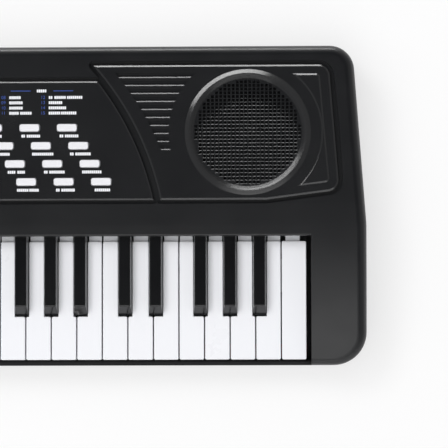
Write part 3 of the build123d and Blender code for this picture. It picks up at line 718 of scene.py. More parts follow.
@dataclass
class PivotHook:
    """Tongue and hook by which a key hangs on the rail of the key frame.

    Attributes:
        pivot: Y and Z of the rail's centre.
        top: Height of the tongue's top.
        thickness: Of the tongue.
        bore: Radius of the hook.
        wall: Of the hook.
        drop: The hook's arms reach this far below the rail's centre.
        steps: Segments of the bore.
    """

    pivot: Point = (-2.9, 28.0)
    top: float = 31.5
    thickness: float = 2.0
    bore: float = 2.06
    wall: float = 1.44
    drop: float = 1.0
    steps: int = 12

    def mesh(self, left: float, right: float, start: float) -> BMesh:
        """Models the tongue and hook of one key.

        Args:
            left: Lowest X.
            right: Highest X.
            start: Y at which the tongue leaves the key.

        Returns:
            The mesh.
        """
        y, z = self.pivot
        reach, low = self.bore + self.wall, z - self.drop
        angles = [math.pi * step / self.steps for step in range(self.steps + 1)]
        arc = [(y + self.bore * math.cos(angle), z + self.bore * math.sin(angle)) for angle in angles]
        below = self.top - self.thickness
        outline = [(start, self.top), (start, below), (y - reach, below)]
        outline += [(y - reach, low), (y - self.bore, low), *reversed(arc)]
        outline += [(y + self.bore, low), (y + reach, low), (y + reach, self.top)]
        return side_block(outline, left, right)


@dataclass
class WhiteKey:
    """Hollow white key with a wide head and a tail between the black keys.

    Attributes:
        workshop: Makes the piece.
        node: CAD node that it stands for.
        head_length: From the front edge to the shoulders.
        length: Of the flat top.
        plate: Thickness of the top.
        wall: Thickness of the sides.
        edge: Rounding of the top edges.
        corner: Rounding of the upright corners.
        draft: The hollow is this much narrower at its top.
        tail_rounding: The CAD tail's rounded edges, which its top face lacks on each side.
        least_shoulder: A narrower shoulder than this is none.
        top_layer: Points this far below the top still belong to its face.
        tongue_from_rear: Points this far behind the top belong to the tongue.
    """

    workshop: Workshop
    node: str
    head_length: float = 26.2
    length: float = 71.7
    plate: float = 1.6
    wall: float = 1.3
    edge: float = 0.5
    corner: float = 0.9
    draft: float = 0.3
    tail_rounding: float = 0.4
    least_shoulder: float = 0.5
    top_layer: float = 0.7
    tongue_from_rear: float = 5.0

    def _plan(self, low: Vector, high: Vector) -> list[Point]:
        """Plan outline, with a shoulder on each side where a black key stands.

        Args:
            low: Lowest corner of the CAD key.
            high: Highest corner of the CAD key.

        Returns:
            The outline's corners, anticlockwise.
        """
        rear, shoulder = low.y + self.length, low.y + self.head_length
        points = self.workshop.points(self.node)
        tail = [p.x for p in points if abs(p.y - rear) < self.edge and p.z > high.z - self.top_layer]
        left, right = min(tail) - self.tail_rounding, max(tail) + self.tail_rounding
        left = low.x if left - low.x < self.least_shoulder else left
        right = high.x if high.x - right < self.least_shoulder else right
        corners = [(low.x, low.y), (high.x, low.y)]
        if right < high.x:
            corners += [(high.x, shoulder), (right, shoulder)]
        corners += [(right, rear), (left, rear)]
        if left > low.x:
            corners += [(left, shoulder), (low.x, shoulder)]
        return corners

    def build(self) -> None:
        """Models the key and puts it in place."""
        low, high = self.workshop.box(self.node)
        rear = low.y + self.length
        bm = upright_block(self._plan(low, high), low.z, high.z)
        floor = [face for face in bm.faces if face.normal.z < -LEVEL]
        bmesh.ops.inset_region(bm, faces=floor, thickness=self.wall)
        hollow_depth = high.z - self.plate - low.z
        bmesh.ops.inset_region(bm, faces=floor, thickness=self.draft, depth=-hollow_depth)
        longest = hollow_depth + self.plate / 2
        upright = [edge for edge in bm.edges if abs(edge.verts[0].co.z - edge.verts[1].co.z) > longest]
        soften(bm, [edge for edge in upright if edge.is_convex], self.corner)
        soften(bm, edges_at(bm, high.z), self.edge)
        tongue = [p.x for p in self.workshop.points(self.node) if p.y > rear + self.tongue_from_rear]
        merge_into(bm, PivotHook().mesh(min(tongue), max(tongue), rear - self.wall / 2))
        self.workshop.add(f"{self.node}_shell", bm, Slot.WHITE_KEY, self.node, (self.node,))


@dataclass
class BlackKey:
    """Black key with tapered sides and a sloping front.

    Attributes:
        workshop: Makes the piece.
        node: CAD node that it stands for.
        width: At the skirt.
        top_width: Of the flat top.
        length: Of the body.
        draft_height: The sides are upright up to this far above the skirt.
        slope: Length of the sloping front.
        nose: Cut of the corner between skirt and slope.
        edge: Rounding of the edges.
        least_turn: Edges that turn less than this stay as they are, in degrees.
        tongue_inset: The tongue is this much narrower than the key on each side.
        tongue_overlap: The tongue starts this far inside the key.
    """

    workshop: Workshop
    node: str
    width: float = 8.4
    top_width: float = 6.8
    length: float = 52.6
    draft_height: float = 8.0
    slope: float = 5.6
    nose: float = 0.6
    edge: float = 0.55
    least_turn: float = 8.0
    tongue_inset: float = 0.2
    tongue_overlap: float = 0.6

    def build(self) -> None:
        """Models the key and puts it in place."""
        low, high = self.workshop.box(self.node)
        middle, half_width = (low.x + high.x) / 2, self.width / 2
        rear = low.y + self.length
        draft = low.z + self.draft_height
        side = [(low.y, low.z), (rear, low.z), (rear, high.z), (low.y + self.slope, high.z)]
        side += [(low.y + self.nose, draft), (low.y, draft - self.nose)]
        bm = side_block(side, middle - half_width, middle + half_width)
        for cut_side in (-1, 1):
            lean = Vector((cut_side * (high.z - draft), 0, half_width - self.top_width / 2)).normalized()
            bmesh.ops.bisect_plane(
                bm,
                geom=bm.verts[:] + bm.edges[:] + bm.faces[:],
                plane_co=(middle + cut_side * half_width, 0, draft),
                plane_no=lean,
                clear_outer=True,
            )
            bmesh.ops.holes_fill(bm, edges=[edge for edge in bm.edges if edge.is_boundary])
        bmesh.ops.recalc_face_normals(bm, faces=bm.faces)
        upper = [edge for edge in bm.edges if min(vert.co.z for vert in edge.verts) > draft - 2 * self.nose]
        least_turn = math.radians(self.least_turn)
        soften(bm, [edge for edge in upper if edge.calc_face_angle(0) > least_turn], self.edge)
        reach = half_width - self.tongue_inset
        merge_into(bm, PivotHook().mesh(middle - reach, middle + reach, rear - self.tongue_overlap))
        self.workshop.add(f"{self.node}_shell", bm, Slot.BLACK_KEY, self.node, (self.node,))


# ---------------------------------------------------------------- speaker panels


@dataclass
class SpeakerPanel:
    """Moulded panel with a ringed speaker grille, louvres and a raised facet.

    The sizes named mitre say how far a corner moves along one axis for each unit of inset, where its
    two edges don't meet at a right angle.

    Attributes:
        workshop: Makes the piece.
        node: CAD node that it stands for.
        side: 1 for the right-hand panel and -1 for the left-hand one.
    """

    workshop: Workshop
    node: str
    side: int
    top: float = 48.4
    bottom: float = 44.2
    edge: float = 1.1
    edge_drop: float = 0.85
    speaker_from_front: float = 40.8
    reach_rear: float = 93.5
    reach_front: float = 52.8
    inner_bow: float = 6.0
    bend: float = 10.9
    rise: float = 5.7
    corner: float = 7.0
    corner_shrink: float = 0.8
    least_corner: float = 1.0
    side_reach_rear: float = 49.0
    side_reach_front: float = 55.0
    inner_mitre: float = 1.1
    bend_mitre: float = 0.1
    side_mitre: float = 1.05
    front_mitre: float = 0.85
    ring_outer: float = 38.0
    ring_inner: float = 32.6
    ring_foot: float = 1.8
    ring_height: float = 1.9
    ring_slope: float = 2.4
    ring_crest: Point = (0.12, 0.04)
    ring_step: float = 1.05
    ring_step_reach: float = 1.55
    ring_step_lip: Point = (0.07, 0.3)
    ring_seat_rise: float = 0.6
    ring_seat_lip: Point = (0.1, 0.15)
    ring_wall: float = 2.0
    hole_pitch: Point = (2.5, 2.25)
    bar: Point = (0.80, 0.24)
    hole_slope: Point = (0.40, 0.29)
    hole_draft: float = 0.06
    grille_drop: float = 0.9
    grille_thickness: float = 0.5
    grille_reach: float = 36.0
    hole_reach: float = 32.9
    louvre_count: int = 10
    louvre_pitch: float = 4.85
    louvre_from_rear: float = 4.4
    louvre_width: float = 3.4
    louvre_depth: float = 1.4
    louvre_lip: float = 1.9
    louvre_inset: float = 9.7
    louvre_reach: float = 47.8
    facet_inset: float = 5.6
    facet_reach: float = 44.3
    facet_root: float = 0.3
    facet_height: float = 0.8
    facet_slope: float = 1.0

    def __post_init__(self) -> None:
        """Takes the panel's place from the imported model."""
        low, high = self.workshop.box("right_speaker_panel")
        self.front, self.rear = low.y, high.y
        self.speaker = (low.x + self.reach_rear, low.y + self.speaker_from_front)

    def outline(self, inset: float = 0.0) -> list[Point]:
        """Plan outline of the panel.

        Args:
            inset: Distance inside the panel's edge.

        Returns:
            The outline's points, anticlockwise.
        """
        x = self.speaker[0]
        front, rear = self.front + inset, self.rear - inset
        inner_rear = (x - self.reach_rear + inset * self.inner_mitre, rear)
        inner_front = (x - self.reach_front + inset * self.inner_mitre, front)
        bend = (x + self.bend - inset * self.bend_mitre, front)
        outer_front_y = self.front + self.rise + inset * self.front_mitre
        outer_front = (x + self.side_reach_front - inset * self.side_mitre, outer_front_y)
        outer_rear = (x + self.side_reach_rear - inset, rear)
        corner = max(self.corner - inset * self.corner_shrink, self.least_corner)
        corners = [inner_front, bend, outer_front, outer_rear, inner_rear]
        rounded = rounded_corners(corners, [0.0, 0.0, corner, corner, 0.0], 8)
        return rounded[:-1] + bowed_line(inner_rear, inner_front, self.inner_bow, 24)

    def _disc(self, radius: float, segments: int = 128) -> BMesh:
        """Makes a cutting disc round the speaker's axis."""
        return upright_cylinder((*self.speaker, self.top), radius, CUT_THROUGH, segments)

    def louvre_cutter(self) -> BMesh:
        """Makes the cutting shape of all the louvres.

        Returns:
            The cutting mesh.
        """
        cutter = bmesh.new()
        deep, over = self.top - self.louvre_depth, self.top + CUT_PAST
        for index in range(self.louvre_count):
            rear = self.rear - self.louvre_from_rear - index * self.louvre_pitch
            front = rear - self.louvre_width
            profile = [(rear, over), (rear, deep), (front + self.louvre_lip, deep)]
            profile += [(front, self.top), (front, over)]
            merge_into(cutter, side_block(profile, 0, self.speaker[0]))
        trim = upright_block(self.outline(), self.bottom, self.top + 3 * CUT_PAST)
        bmesh.ops.translate(trim, vec=(self.louvre_inset, 0, 0), verts=trim.verts)
        return carve(carve(cutter, trim, "INTERSECT"), self._disc(self.louvre_reach, 96))

    def facet(self) -> BMesh:
        """Makes the raised facet beyond the speaker.

        Returns:
            The mesh.
        """
        bm = upright_block(self.outline(self.facet_inset), self.top - self.facet_root, self.top)
        bm = carve(bm, self._disc(self.facet_reach))
        inner = [vert for vert in bm.verts if vert.co.x < self.speaker[0]]
        bmesh.ops.delete(bm, geom=inner, context="VERTS")
        slope_edge(bm, self.top, self.facet_slope, self.facet_height)
        return bm

    @staticmethod
    def _sink(bm: BMesh, holes: list[bmesh.types.BMFace], inset: float, depth: float = 0.0) -> None:
        """Sinks each hole within a narrow border."""
        bmesh.ops.inset_individual(bm, faces=holes, thickness=inset, depth=-depth, use_even_offset=True)

    def grille(self) -> BMesh:
        """Makes a plate of square holes that widen upwards, each with a slope on its front side.

        Returns:
            The mesh.
        """
        bm = bmesh.new()
        columns, rows = (2 * math.ceil((self.ring_inner + 1) / pitch) for pitch in self.hole_pitch)
        bmesh.ops.create_grid(bm, x_segments=columns, y_segments=rows, size=1.0)
        stretch = (columns * self.hole_pitch[0] / 2, rows * self.hole_pitch[1] / 2, 1)
        bmesh.ops.scale(bm, vec=stretch, verts=bm.verts)
        outside = [face for face in bm.faces if face.calc_center_median().length > self.grille_reach]
        bmesh.ops.delete(bm, geom=outside, context="FACES")
        holes = [face for face in bm.faces if max(vert.co.length for vert in face.verts) < self.hole_reach]
        side_bar, front_bar = self.bar
        slope, drop = self.hole_slope
        self._sink(bm, holes, front_bar / 2)
        for hole in holes:
            middle = hole.calc_center_median()
            for vert in hole.verts:
                vert.co.x += math.copysign((side_bar - front_bar) / 2, middle.x - vert.co.x)
        self._sink(bm, holes, self.hole_draft, drop)
        for hole in holes:
            middle = hole.calc_center_median()
            for vert in hole.verts:
                vert.co.y += slope - self.hole_draft if vert.co.y < middle.y else 0.0
        self._sink(bm, holes, NEAR, self.grille_thickness)
        bmesh.ops.delete(bm, geom=holes, context="FACES_ONLY")
        bmesh.ops.translate(bm, vec=(*self.speaker, self.top - self.grille_drop), verts=bm.verts)
        return bm

    def ring(self) -> BMesh:
        """Makes the ring round the grille, with a slope outside and two slopes inside.

        Returns:
            The mesh.
        """
        outer, inner = self.ring_outer, self.ring_inner
        foot, crown = self.bottom + self.ring_foot, self.top + self.ring_height
        rest = self.top - self.grille_drop - self.grille_thickness
        crest, crest_drop = self.ring_crest
        ridge = outer - self.ring_slope
        step, step_height = ridge - self.ring_step_reach, crown - self.ring_step
        seat = rest + self.ring_seat_rise
        profile = [
            (outer, foot),
            (outer, self.top + 0.02),
            (ridge, crown - crest_drop),
            (ridge - crest, crown),
            (ridge - 2 * crest, crown - crest_drop),
            (step, step_height),
            (step - self.ring_step_lip[0], step_height - self.ring_step_lip[1]),
            (inner + self.ring_seat_lip[0], seat + self.ring_seat_lip[1]),
            (inner, seat),
            (inner, rest),
            (inner + self.ring_wall, rest),
            (inner + self.ring_wall, foot),
        ]
        return turned_shape([*profile, profile[0]], self.speaker, 128)

    def build(self) -> None:
        """Models the panel and puts it in place."""
        shoulder = self.top - self.edge_drop
        bm = upright_block(self.outline(), self.bottom, shoulder)
        slope_edge(bm, shoulder, self.edge, self.edge_drop)
        bm = carve(bm, self._disc(self.ring_outer - 0.4))
        bm = carve(bm, self.louvre_cutter())
        merge_into(bm, self.facet(), self.ring(), self.grille())
        if self.side < 0:
            bmesh.ops.scale(bm, vec=(-1, 1, 1), verts=bm.verts)
            bmesh.ops.reverse_faces(bm, faces=bm.faces)
        self.workshop.add(
            f"{self.node}_shell", bm, Slot.SPEAKER_PANEL, "casing", (self.node,), sharp_angle=PANEL_ANGLE
        )


# ---------------------------------------------------------------- control panel


@dataclass
class ButtonRow:
    """Rounded rubber buttons of one row, on a web, each with a pad below.

    Attributes:
        workshop: Makes the piece.
        node: CAD node that it stands for.
        count: Number of buttons.
    """

    workshop: Workshop
    node: str
    count: int
    length: float = 12.0
    width: float = 4.5
    corner: float = 1.35
    edge: float = 0.45
    rim: float = 0.55
    dish: float = 0.18
    pitch: float = 22.6
    web: float = 1.0
    web_corner: float = 1.5
    pad_foot: float = 1.9
    pad_head: float = 2.0

    def spots(self) -> list[Point]:
        """Centres of the buttons.

        Returns:
            The centres, from the left.
        """
        low, high = self.workshop.box(self.node)
        first = (low.x + high.x) / 2 - self.pitch * (self.count - 1) / 2
        return [(first + index * self.pitch, (low.y + high.y) / 2) for index in range(self.count)]

    def build(self) -> None:
        """Models the row and puts it in place."""
        low, high = self.workshop.box(self.node)
        web_bottom = min(point.z for point in self.workshop.points(self.node) if abs(point.x - low.x) < NEAR)
        bm = bmesh.new()
        for x, y in self.spots():
            outline = rounded_corners(rectangle((x, y), self.length, self.width), [self.corner] * 4, 5)
            button = upright_block(outline, web_bottom, high.z)
            soften(button, edges_at(button, high.z), self.edge)
            tops = top_faces(button, high.z)
            bmesh.ops.inset_region(button, faces=tops, thickness=self.rim)
            bmesh.ops.inset_region(button, faces=tops, thickness=2 * self.dish, depth=-self.dish)
            middle, height = (x, y, (low.z + web_bottom) / 2), web_bottom - low.z
            merge_into(bm, button, upright_cylinder(middle, self.pad_foot, height, 24, self.pad_head))
        strip = rectangle(tuple((low + high).xy / 2), high.x - low.x, high.y - low.y)
        strip = rounded_corners(strip, [self.web_corner] * 4, 4)
        merge_into(bm, upright_block(strip, web_bottom, web_bottom + self.web))
        self.workshop.add(f"{self.node}_buttons", bm, Slot.BUTTON, self.node, (self.node,))


@dataclass
class ControlPanel:
    """Middle panel with curved ends, a sloping edge and an opening for every button.

    The sizes named mitre say how far a corner moves along X for each unit of inset.

    Attributes:
        workshop: Makes the piece.
        rows: The rows of buttons.
    """

    workshop: Workshop
    rows: list[ButtonRow]
    node: str = "control_panel"
    edge: float = 0.9
    edge_drop: float = 0.75
    thickness: float = 2.4
    skirt: float = 1.6
    end_radius: float = 178.0
    corner: float = 2.2
    corner_shrink: float = 0.5
    least_corner: float = 0.3
    front_mitre: float = 1.4
    rear_mitre: float = 1.1
    clearance: float = 0.4

    def __post_init__(self) -> None:
        """Takes the panel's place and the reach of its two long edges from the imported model."""
        self.low, self.high = self.workshop.box(self.node)
        points = self.workshop.points(self.node)
        self.front_half = max(point.x for point in points if abs(point.y - self.low.y) < 10 * NEAR)
        self.rear_half = max(point.x for point in points if abs(point.y - self.high.y) < 10 * NEAR)

    def outline(self, inset: float = 0.0) -> list[Point]:
        """Plan outline of the panel.

        Args:
            inset: Distance inside the panel's edge.

        Returns:
            The outline's points, anticlockwise.
        """
        front, rear = self.low.y + inset, self.high.y - inset
        near, far = self.front_half - self.front_mitre * inset, self.rear_half - self.rear_mitre * inset
        corners = [(-near, front), (near, front), (far, rear), (-far, rear)]
        bow = math.dist(corners[1], corners[2]) ** 2 / (8 * self.end_radius)
        right = [*bowed_line(corners[1], corners[2], -bow, 20), corners[2]]
        left = [corners[3], *bowed_line(corners[3], corners[0], -bow, 20)[1:], corners[0]]
        rear_corner = max(self.corner - self.corner_shrink * inset, self.least_corner)
        radii = [0.0] * (len(right) - 1) + [rear_corner] * 2 + [0.0] * (len(left) - 1)
        return rounded_corners([*right, *left], radii)

    def openings(self) -> BMesh:
        """Makes the cutting shape of all the button openings.

        Returns:
            The cutting mesh.
        """
        cutter = bmesh.new()
        for row in self.rows:
            for spot in row.spots():
                corners = rectangle(spot, row.length + 2 * self.clearance, row.width + 2 * self.clearance)
                hole = rounded_corners(corners, [row.corner + self.clearance / 2] * 4, 5)
                merge_into(cutter, upright_block(hole, self.low.z - CUT_PAST, self.high.z + CUT_PAST))
        return cutter

    def build(self) -> None:
        """Models the panel and puts it in place."""
        shoulder = self.high.z - self.edge_drop
        bm = upright_block(self.outline(), self.low.z, shoulder)
        slope_edge(bm, shoulder, self.edge, self.edge_drop)
        hollow = upright_block(self.outline(self.skirt), self.low.z - CUT_PAST, self.high.z - self.thickness)
        bm = carve(bm, hollow)
        bm = carve(bm, self.openings())
        self.workshop.add(
            "control_panel_shell", bm, Slot.CONTROL_PANEL, "casing", (self.node,), sharp_angle=PANEL_ANGLE
        )


@dataclass
class PanelPrint:
    """Marks printed on the control panel: plain numbers, and rows of small blocks in place of words.

    Attributes:
        workshop: Makes the pieces.
        rows: The rows of buttons, which have a label in front of each button.
        words: Lengths of the words on each line of each column of the table.
        labels: Lengths of the words at each button of each row, from the right.
    """

    workshop: Workshop
    rows: list[ButtonRow]
    words: tuple[tuple[tuple[float, ...], ...], ...] = (
        ((5.8,), (7.2,), (6.4,), (4.4, 6.0)),
        ((6.0,), (5.2, 5.2), (8.0,), (6.8,)),
        ((6.4,), (7.7,), (8.6,), (5.6, 6.4)),
        ((2.4, 6.6, 9.8), (8.0,), (10.2,), (6.4, 9.2)),
    )
    labels: tuple[tuple[tuple[float, ...], ...], ...] = (
        ((2.2, 7.6), (2.2, 8.6), (9.0,)),
        ((2.2, 8.8), (12.6,), (6.0,), (8.2,)),
        ((11.2,), (2.2, 8.8), (4.8, 4.8), (7.4,)),
        ((9.8,), (2.2, 8.0), (6.4, 5.8), (9.0,), (7.6,)),
    )
    lift: float = 0.03
    end_rounding: float = 0.3
    mark_height: float = 1.8
    mark_width: float = 1.02
    mark_gap: float = 0.16
    word_gap: float = 1.0
    column_x: tuple[float, ...] = (-61.5, -37.6, -13.7, 10.2)
    first_line_y: float = 65.2
    line_pitch: float = 3.15
    digit_size: float = 2.75
    number_width: float = 4.9
    heading_y: float = 69.2
    heading_x: float = 11.0
    heading_length: float = 12.4
    rule_length: float = 12.0
    rule_height: float = 0.45
    rule_from_middle: float = 6.9
    label_drop: float = 4.95
    label_shift: float = 1.0

    def __post_init__(self) -> None:
        """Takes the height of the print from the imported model."""
        self.level = self.workshop.box("control_panel")[1].z + self.lift

    def _bar(self, bm: BMesh, left: float, y: float, length: float, height: float) -> None:
        """Adds one flat bar with rounded ends.

        Args:
            bm: Mesh to add to.
            left: Its left end.
            y: Its middle.
            length: Its size along X.
            height: Its size along Y.
        """
        radius = self.end_rounding * min(length, height)
        corners = rectangle((left + length / 2, y), length, height)
        flat_face(bm, rounded_corners(corners, [radius] * 4, 3), self.level)

    def _line(self, bm: BMesh, left: float, y: float, lengths: Sequence[float]) -> None:
        """Adds a line of words, each a row of small blocks.

        Args:
            bm: Mesh to add to.
            left: Where the line starts.
            y: Its middle.
            lengths: Length of each word.
        """
        step = self.mark_width + self.mark_gap
        for length in lengths:
            for index in range(max(1, round((length + self.mark_gap) / step))):
                self._bar(bm, left + index * step, y, self.mark_width, self.mark_height)
            left += length + self.word_gap

    def _digits(self, bm: BMesh, text: str, x: float, y: float) -> None:
        """Adds a number made of flat digits.

        Args:
            bm: Mesh to add to.
            text: The number.
            x: Its left end.
            y: Its middle.
        """
        curve = bpy.data.curves.new("digits", "FONT")
        curve.body = text
        curve.size = self.digit_size
        curve.align_y = "CENTER"
        holder = new_object("digits", curve)
        bpy.context.view_layer.update()
        shaped = holder.evaluated_get(bpy.context.evaluated_depsgraph_get())
        number = bmesh.new()
        number.from_mesh(shaped.to_mesh())
        shaped.to_mesh_clear()
        bmesh.ops.translate(number, vec=(x, y, self.level), verts=number.verts)
        merge_into(bm, number)
        bpy.data.objects.remove(holder)
        bpy.data.curves.remove(curve)

    def _table(self, white: BMesh, blue: BMesh) -> None:
        """Adds the table of numbers and words, and its two headings between rules.

        Args:
            white: Mesh of the white print.
            blue: Mesh of the blue print.
        """
        for index, (left, column) in enumerate(zip(self.column_x, self.words)):
            for line, lengths in enumerate(column):
                y = self.first_line_y - line * self.line_pitch
                self._digits(blue, f"{len(column) * index + line:02d}", left, y)
                self._line(white, left + self.number_width, y, lengths)
        heading_step = 2 * (self.column_x[1] - self.column_x[0])
        for centre in (self.heading_x, self.heading_x - heading_step):
            self._line(white, centre - self.heading_length / 4, self.heading_y, (self.heading_length / 2,))
            for left in (centre - self.rule_from_middle - self.rule_length, centre + self.rule_from_middle):
                self._bar(blue, left, self.heading_y, self.rule_length, self.rule_height)

    def build(self) -> None:
        """Makes the printed marks and puts them in place."""
        white, blue = bmesh.new(), bmesh.new()
        self._table(white, blue)
        for row, labels in zip(self.rows, self.labels):
            for (x, y), lengths in zip(reversed(row.spots()), labels):
                whole = sum(lengths) + self.word_gap * (len(lengths) - 1)
                self._line(white, x + self.label_shift - whole / 2, y - self.label_drop, lengths)
        for name, bm, ink in (("white_print", white, Ink.WHITE), ("blue_print", blue, Ink.BLUE)):
            bmesh.ops.recalc_face_normals(bm, faces=bm.faces)
            bmesh.ops.reverse_faces(bm, faces=[face for face in bm.faces if face.normal.z < 0])
            self.workshop.add(name, bm, ink, "casing", record_slot=Slot.CONTROL_PANEL)


# ---------------------------------------------------------------- small fittings


@dataclass
class CaseScrews:
    """Pan-head screws with a cross recess, in the counterbores of the underside.

    Attributes:
        workshop: Makes the piece.
        spots: Places of the screws on the right-hand side.
        seat: Height of the counterbores' floors.
    """

    workshop: Workshop
    spots: tuple[Point, ...] = ((189.0, -50.5), (88.0, 9.5), (183.0, 81.5))
    seat: float = 15.5
    head_radius: float = 2.8
    head_height: float = 1.7
    edge: float = 0.7
    slot_size: Point = (3.2, 0.75)
    slot_depth: float = 0.9

    def build(self) -> None:
        """Models the screw heads and puts them in place."""
        bm = bmesh.new()
        face = self.seat - self.head_height
        for x, y in [(side * x, y) for x, y in self.spots for side in (-1, 1)]:
            middle = (x, y, face + self.head_height / 2)
            head = upright_cylinder(middle, self.head_radius, self.head_height, 32)
            soften(head, edges_at(head, face), self.edge)
            for size in (self.slot_size, self.slot_size[::-1]):
                slot = rectangle((x, y), *size)
                head = carve(head, upright_block(slot, face - CUT_PAST, face + self.slot_depth))
            merge_into(bm, head)
        self.workshop.add("case_screw_heads", bm, Slot.CONTACT_STEEL, "casing")


@dataclass
class SocketFittings:
    """Steel sleeves of the two plug sockets and the pin of the mains adapter's socket.

    Attributes:
        workshop: Makes the piece.
        height: Height of the sockets' axes.
        sleeves_x: Places of the two plug sockets.
        pin_x: Place of the adapter's socket.
    """

    workshop: Workshop
    height: float = 33.7
    sleeves_x: Point = (-10.0, 10.0)
    pin_x: float = -30.0
    bore: float = 1.79
    sleeve_wall: float = 0.03
    sleeve_length: float = 9.0
    sleeve_recess: float = 0.3
    pin_radius: float = 0.8
    pin_length: float = 10.0
    pin_recess: float = 1.2

    def build(self) -> None:
        """Models the sleeves and the pin and puts them in place."""
        bm = bmesh.new()
        inner = self.bore - self.sleeve_wall
        sleeve = [(self.bore, 0), (self.bore, self.sleeve_length), (inner, self.sleeve_length), (inner, 0)]
        for x in self.sleeves_x:
            self._lay(bm, turned_shape([*sleeve, sleeve[0]], (0, 0), 32), x, self.sleeve_recess)
        radius, length = self.pin_radius, self.pin_length
        pin = [(0, 0), (radius / 2, 0), (radius, radius / 2), (radius, length), (0, length)]
        self._lay(bm, turned_shape(pin, (0, 0), 24), self.pin_x, self.pin_recess)
        self.workshop.add("socket_contacts", bm, Slot.CONTACT_STEEL, "casing")

    def _lay(self, bm: BMesh, part: BMesh, x: float, recess: float) -> None:
        """Lays an upright part in a socket, with its foot at the mouth.

        Args:
            bm: Mesh to add to.
            part: The part, freed.
            x: Place of the socket.
            recess: The part ends this far inside the mouth.
        """
        mouth = self.workshop.box("rear_sockets")[1].y
        bmesh.ops.rotate(part, cent=(0, 0, 0), matrix=Matrix.Rotation(math.pi / 2, 3, "X"), verts=part.verts)
        bmesh.ops.translate(part, vec=(x, mouth - recess, self.height), verts=part.verts)
        merge_into(bm, part)


@dataclass
class GripRidges:
    """Raised ridges for a finger on the slide switch and on the battery door.

    Attributes:
        workshop: Makes the pieces.
    """

    workshop: Workshop
    count: int = 4
    half_width: float = 0.25
    root: float = 0.1
    door_length: float = 9.0
    door_pitch: float = 1.1
    door_from_front: float = 10.0
    door_rise: float = 0.45
    door_recess: float = 0.8
    knob_pitch: float = 0.85
    knob_height: float = 2.6
    knob_rise: float = 0.25
    knob_layer: float = 0.05

    def _profile(self, middle: float, face: float, rise: float) -> list[Point]:
        """Outline of one ridge across its length.

        Args:
            middle: Its place along the row.
            face: Where the surface is that it stands on.
            rise: How far it rises, less than 0 for downwards.

        Returns:
            The outline's points.
        """
        left, right = middle - self.half_width, middle + self.half_width
        root = face - math.copysign(self.root, rise)
        return [(left, root), (right, root), (right, face), (middle, face + rise), (left, face)]

    def _places(self, middle: float, pitch: float) -> list[float]:
        """Places of the ridges of one row."""
        return [middle + (index - (self.count - 1) / 2) * pitch for index in range(self.count)]

    def build(self) -> None:
        """Models the ridges and puts them in place."""
        low, high = self.workshop.box("battery_door")
        left, right = ((low.x + high.x + way * self.door_length) / 2 for way in (-1, 1))
        bm = bmesh.new()
        for y in self._places(low.y + self.door_from_front, self.door_pitch):
            ridge = self._profile(y, low.z + self.door_recess, -self.door_rise)
            merge_into(bm, side_block(ridge, left, right))
        self.workshop.add("battery_door_ridges", bm, Slot.DOOR, "battery_door")
        low, high = self.workshop.box("power_switch")
        points = self.workshop.points("power_switch")
        knob = [point.x for point in points if point.y > high.y - self.knob_layer]
        bottom, top = ((low.z + high.z + way * self.knob_height) / 2 for way in (-1, 1))
        bm = bmesh.new()
        for x in self._places((min(knob) + max(knob)) / 2, self.knob_pitch):
            merge_into(bm, upright_block(self._profile(x, high.y, self.knob_rise), bottom, top))
        self.workshop.add("power_switch_ridges", bm, Slot.SWITCH, "power_switch")


# ---------------------------------------------------------------- studio


@dataclass(frozen=True)
class Softbox:
    """Flat studio lamp.

    Attributes:
        name: Name of the lamp.
        place_m: Where it stands.
        size_m: Its width and height.
        power: Its power in watts.
        for_colour: Whether it lights matt colour.
        for_gloss: Whether it shows in shine.
        aim_m: Point that it faces.
    """

    name: str
    place_m: Place
    size_m: Point
    power: float
    for_colour: bool = True
    for_gloss: bool = True
    aim_m: Place = (0.1, 0.0, 0.0)

    def hang(self) -> None:
        """Hangs the lamp."""
        lamp = bpy.data.lights.new(self.name, "AREA")
        lamp.shape = "RECTANGLE"
        lamp.size, lamp.size_y = self.size_m
        lamp.energy = self.power
        holder = new_object(self.name, lamp)
        holder.location = self.place_m
        holder.visible_diffuse = self.for_colour
        holder.visible_glossy = self.for_gloss
        way = Vector(self.aim_m) - Vector(self.place_m)
        holder.rotation_euler = way.to_track_quat("-Z", "Y").to_euler()


@dataclass(frozen=True)
class RoundPatch:
    """Round patch of the room's light.

    Attributes:
        way: Direction of its middle.
        inner_angle: Its edge begins this many degrees from the middle.
        outer_angle: Its edge ends this many degrees from the middle.
        inside: Level of light inside it.
        outside: Level of light outside it.
    """

    way: Place
    inner_angle: float
    outer_angle: float
    inside: float
    outside: float

    def level(self, sheet: NodeSheet, way: bpy.types.NodeSocket) -> bpy.types.NodeSocket:
        """Level of light by direction.

        Args:
            sheet: World tree.
            way: Direction looked in.

        Returns:
            The level's output.
        """
        aim = {0: way, 1: Vector(self.way).normalized()}
        near = sheet.add("ShaderNodeVectorMath", aim, operation="DOT_PRODUCT")
        edge = {
            "Value": near.outputs["Value"],
            "From Min": math.cos(math.radians(self.outer_angle)),
            "From Max": math.cos(math.radians(self.inner_angle)),
            "To Min": self.outside,
            "To Max": self.inside,
        }
        return sheet.add("ShaderNodeMapRange", edge, interpolation_type="SMOOTHSTEP").outputs["Result"]


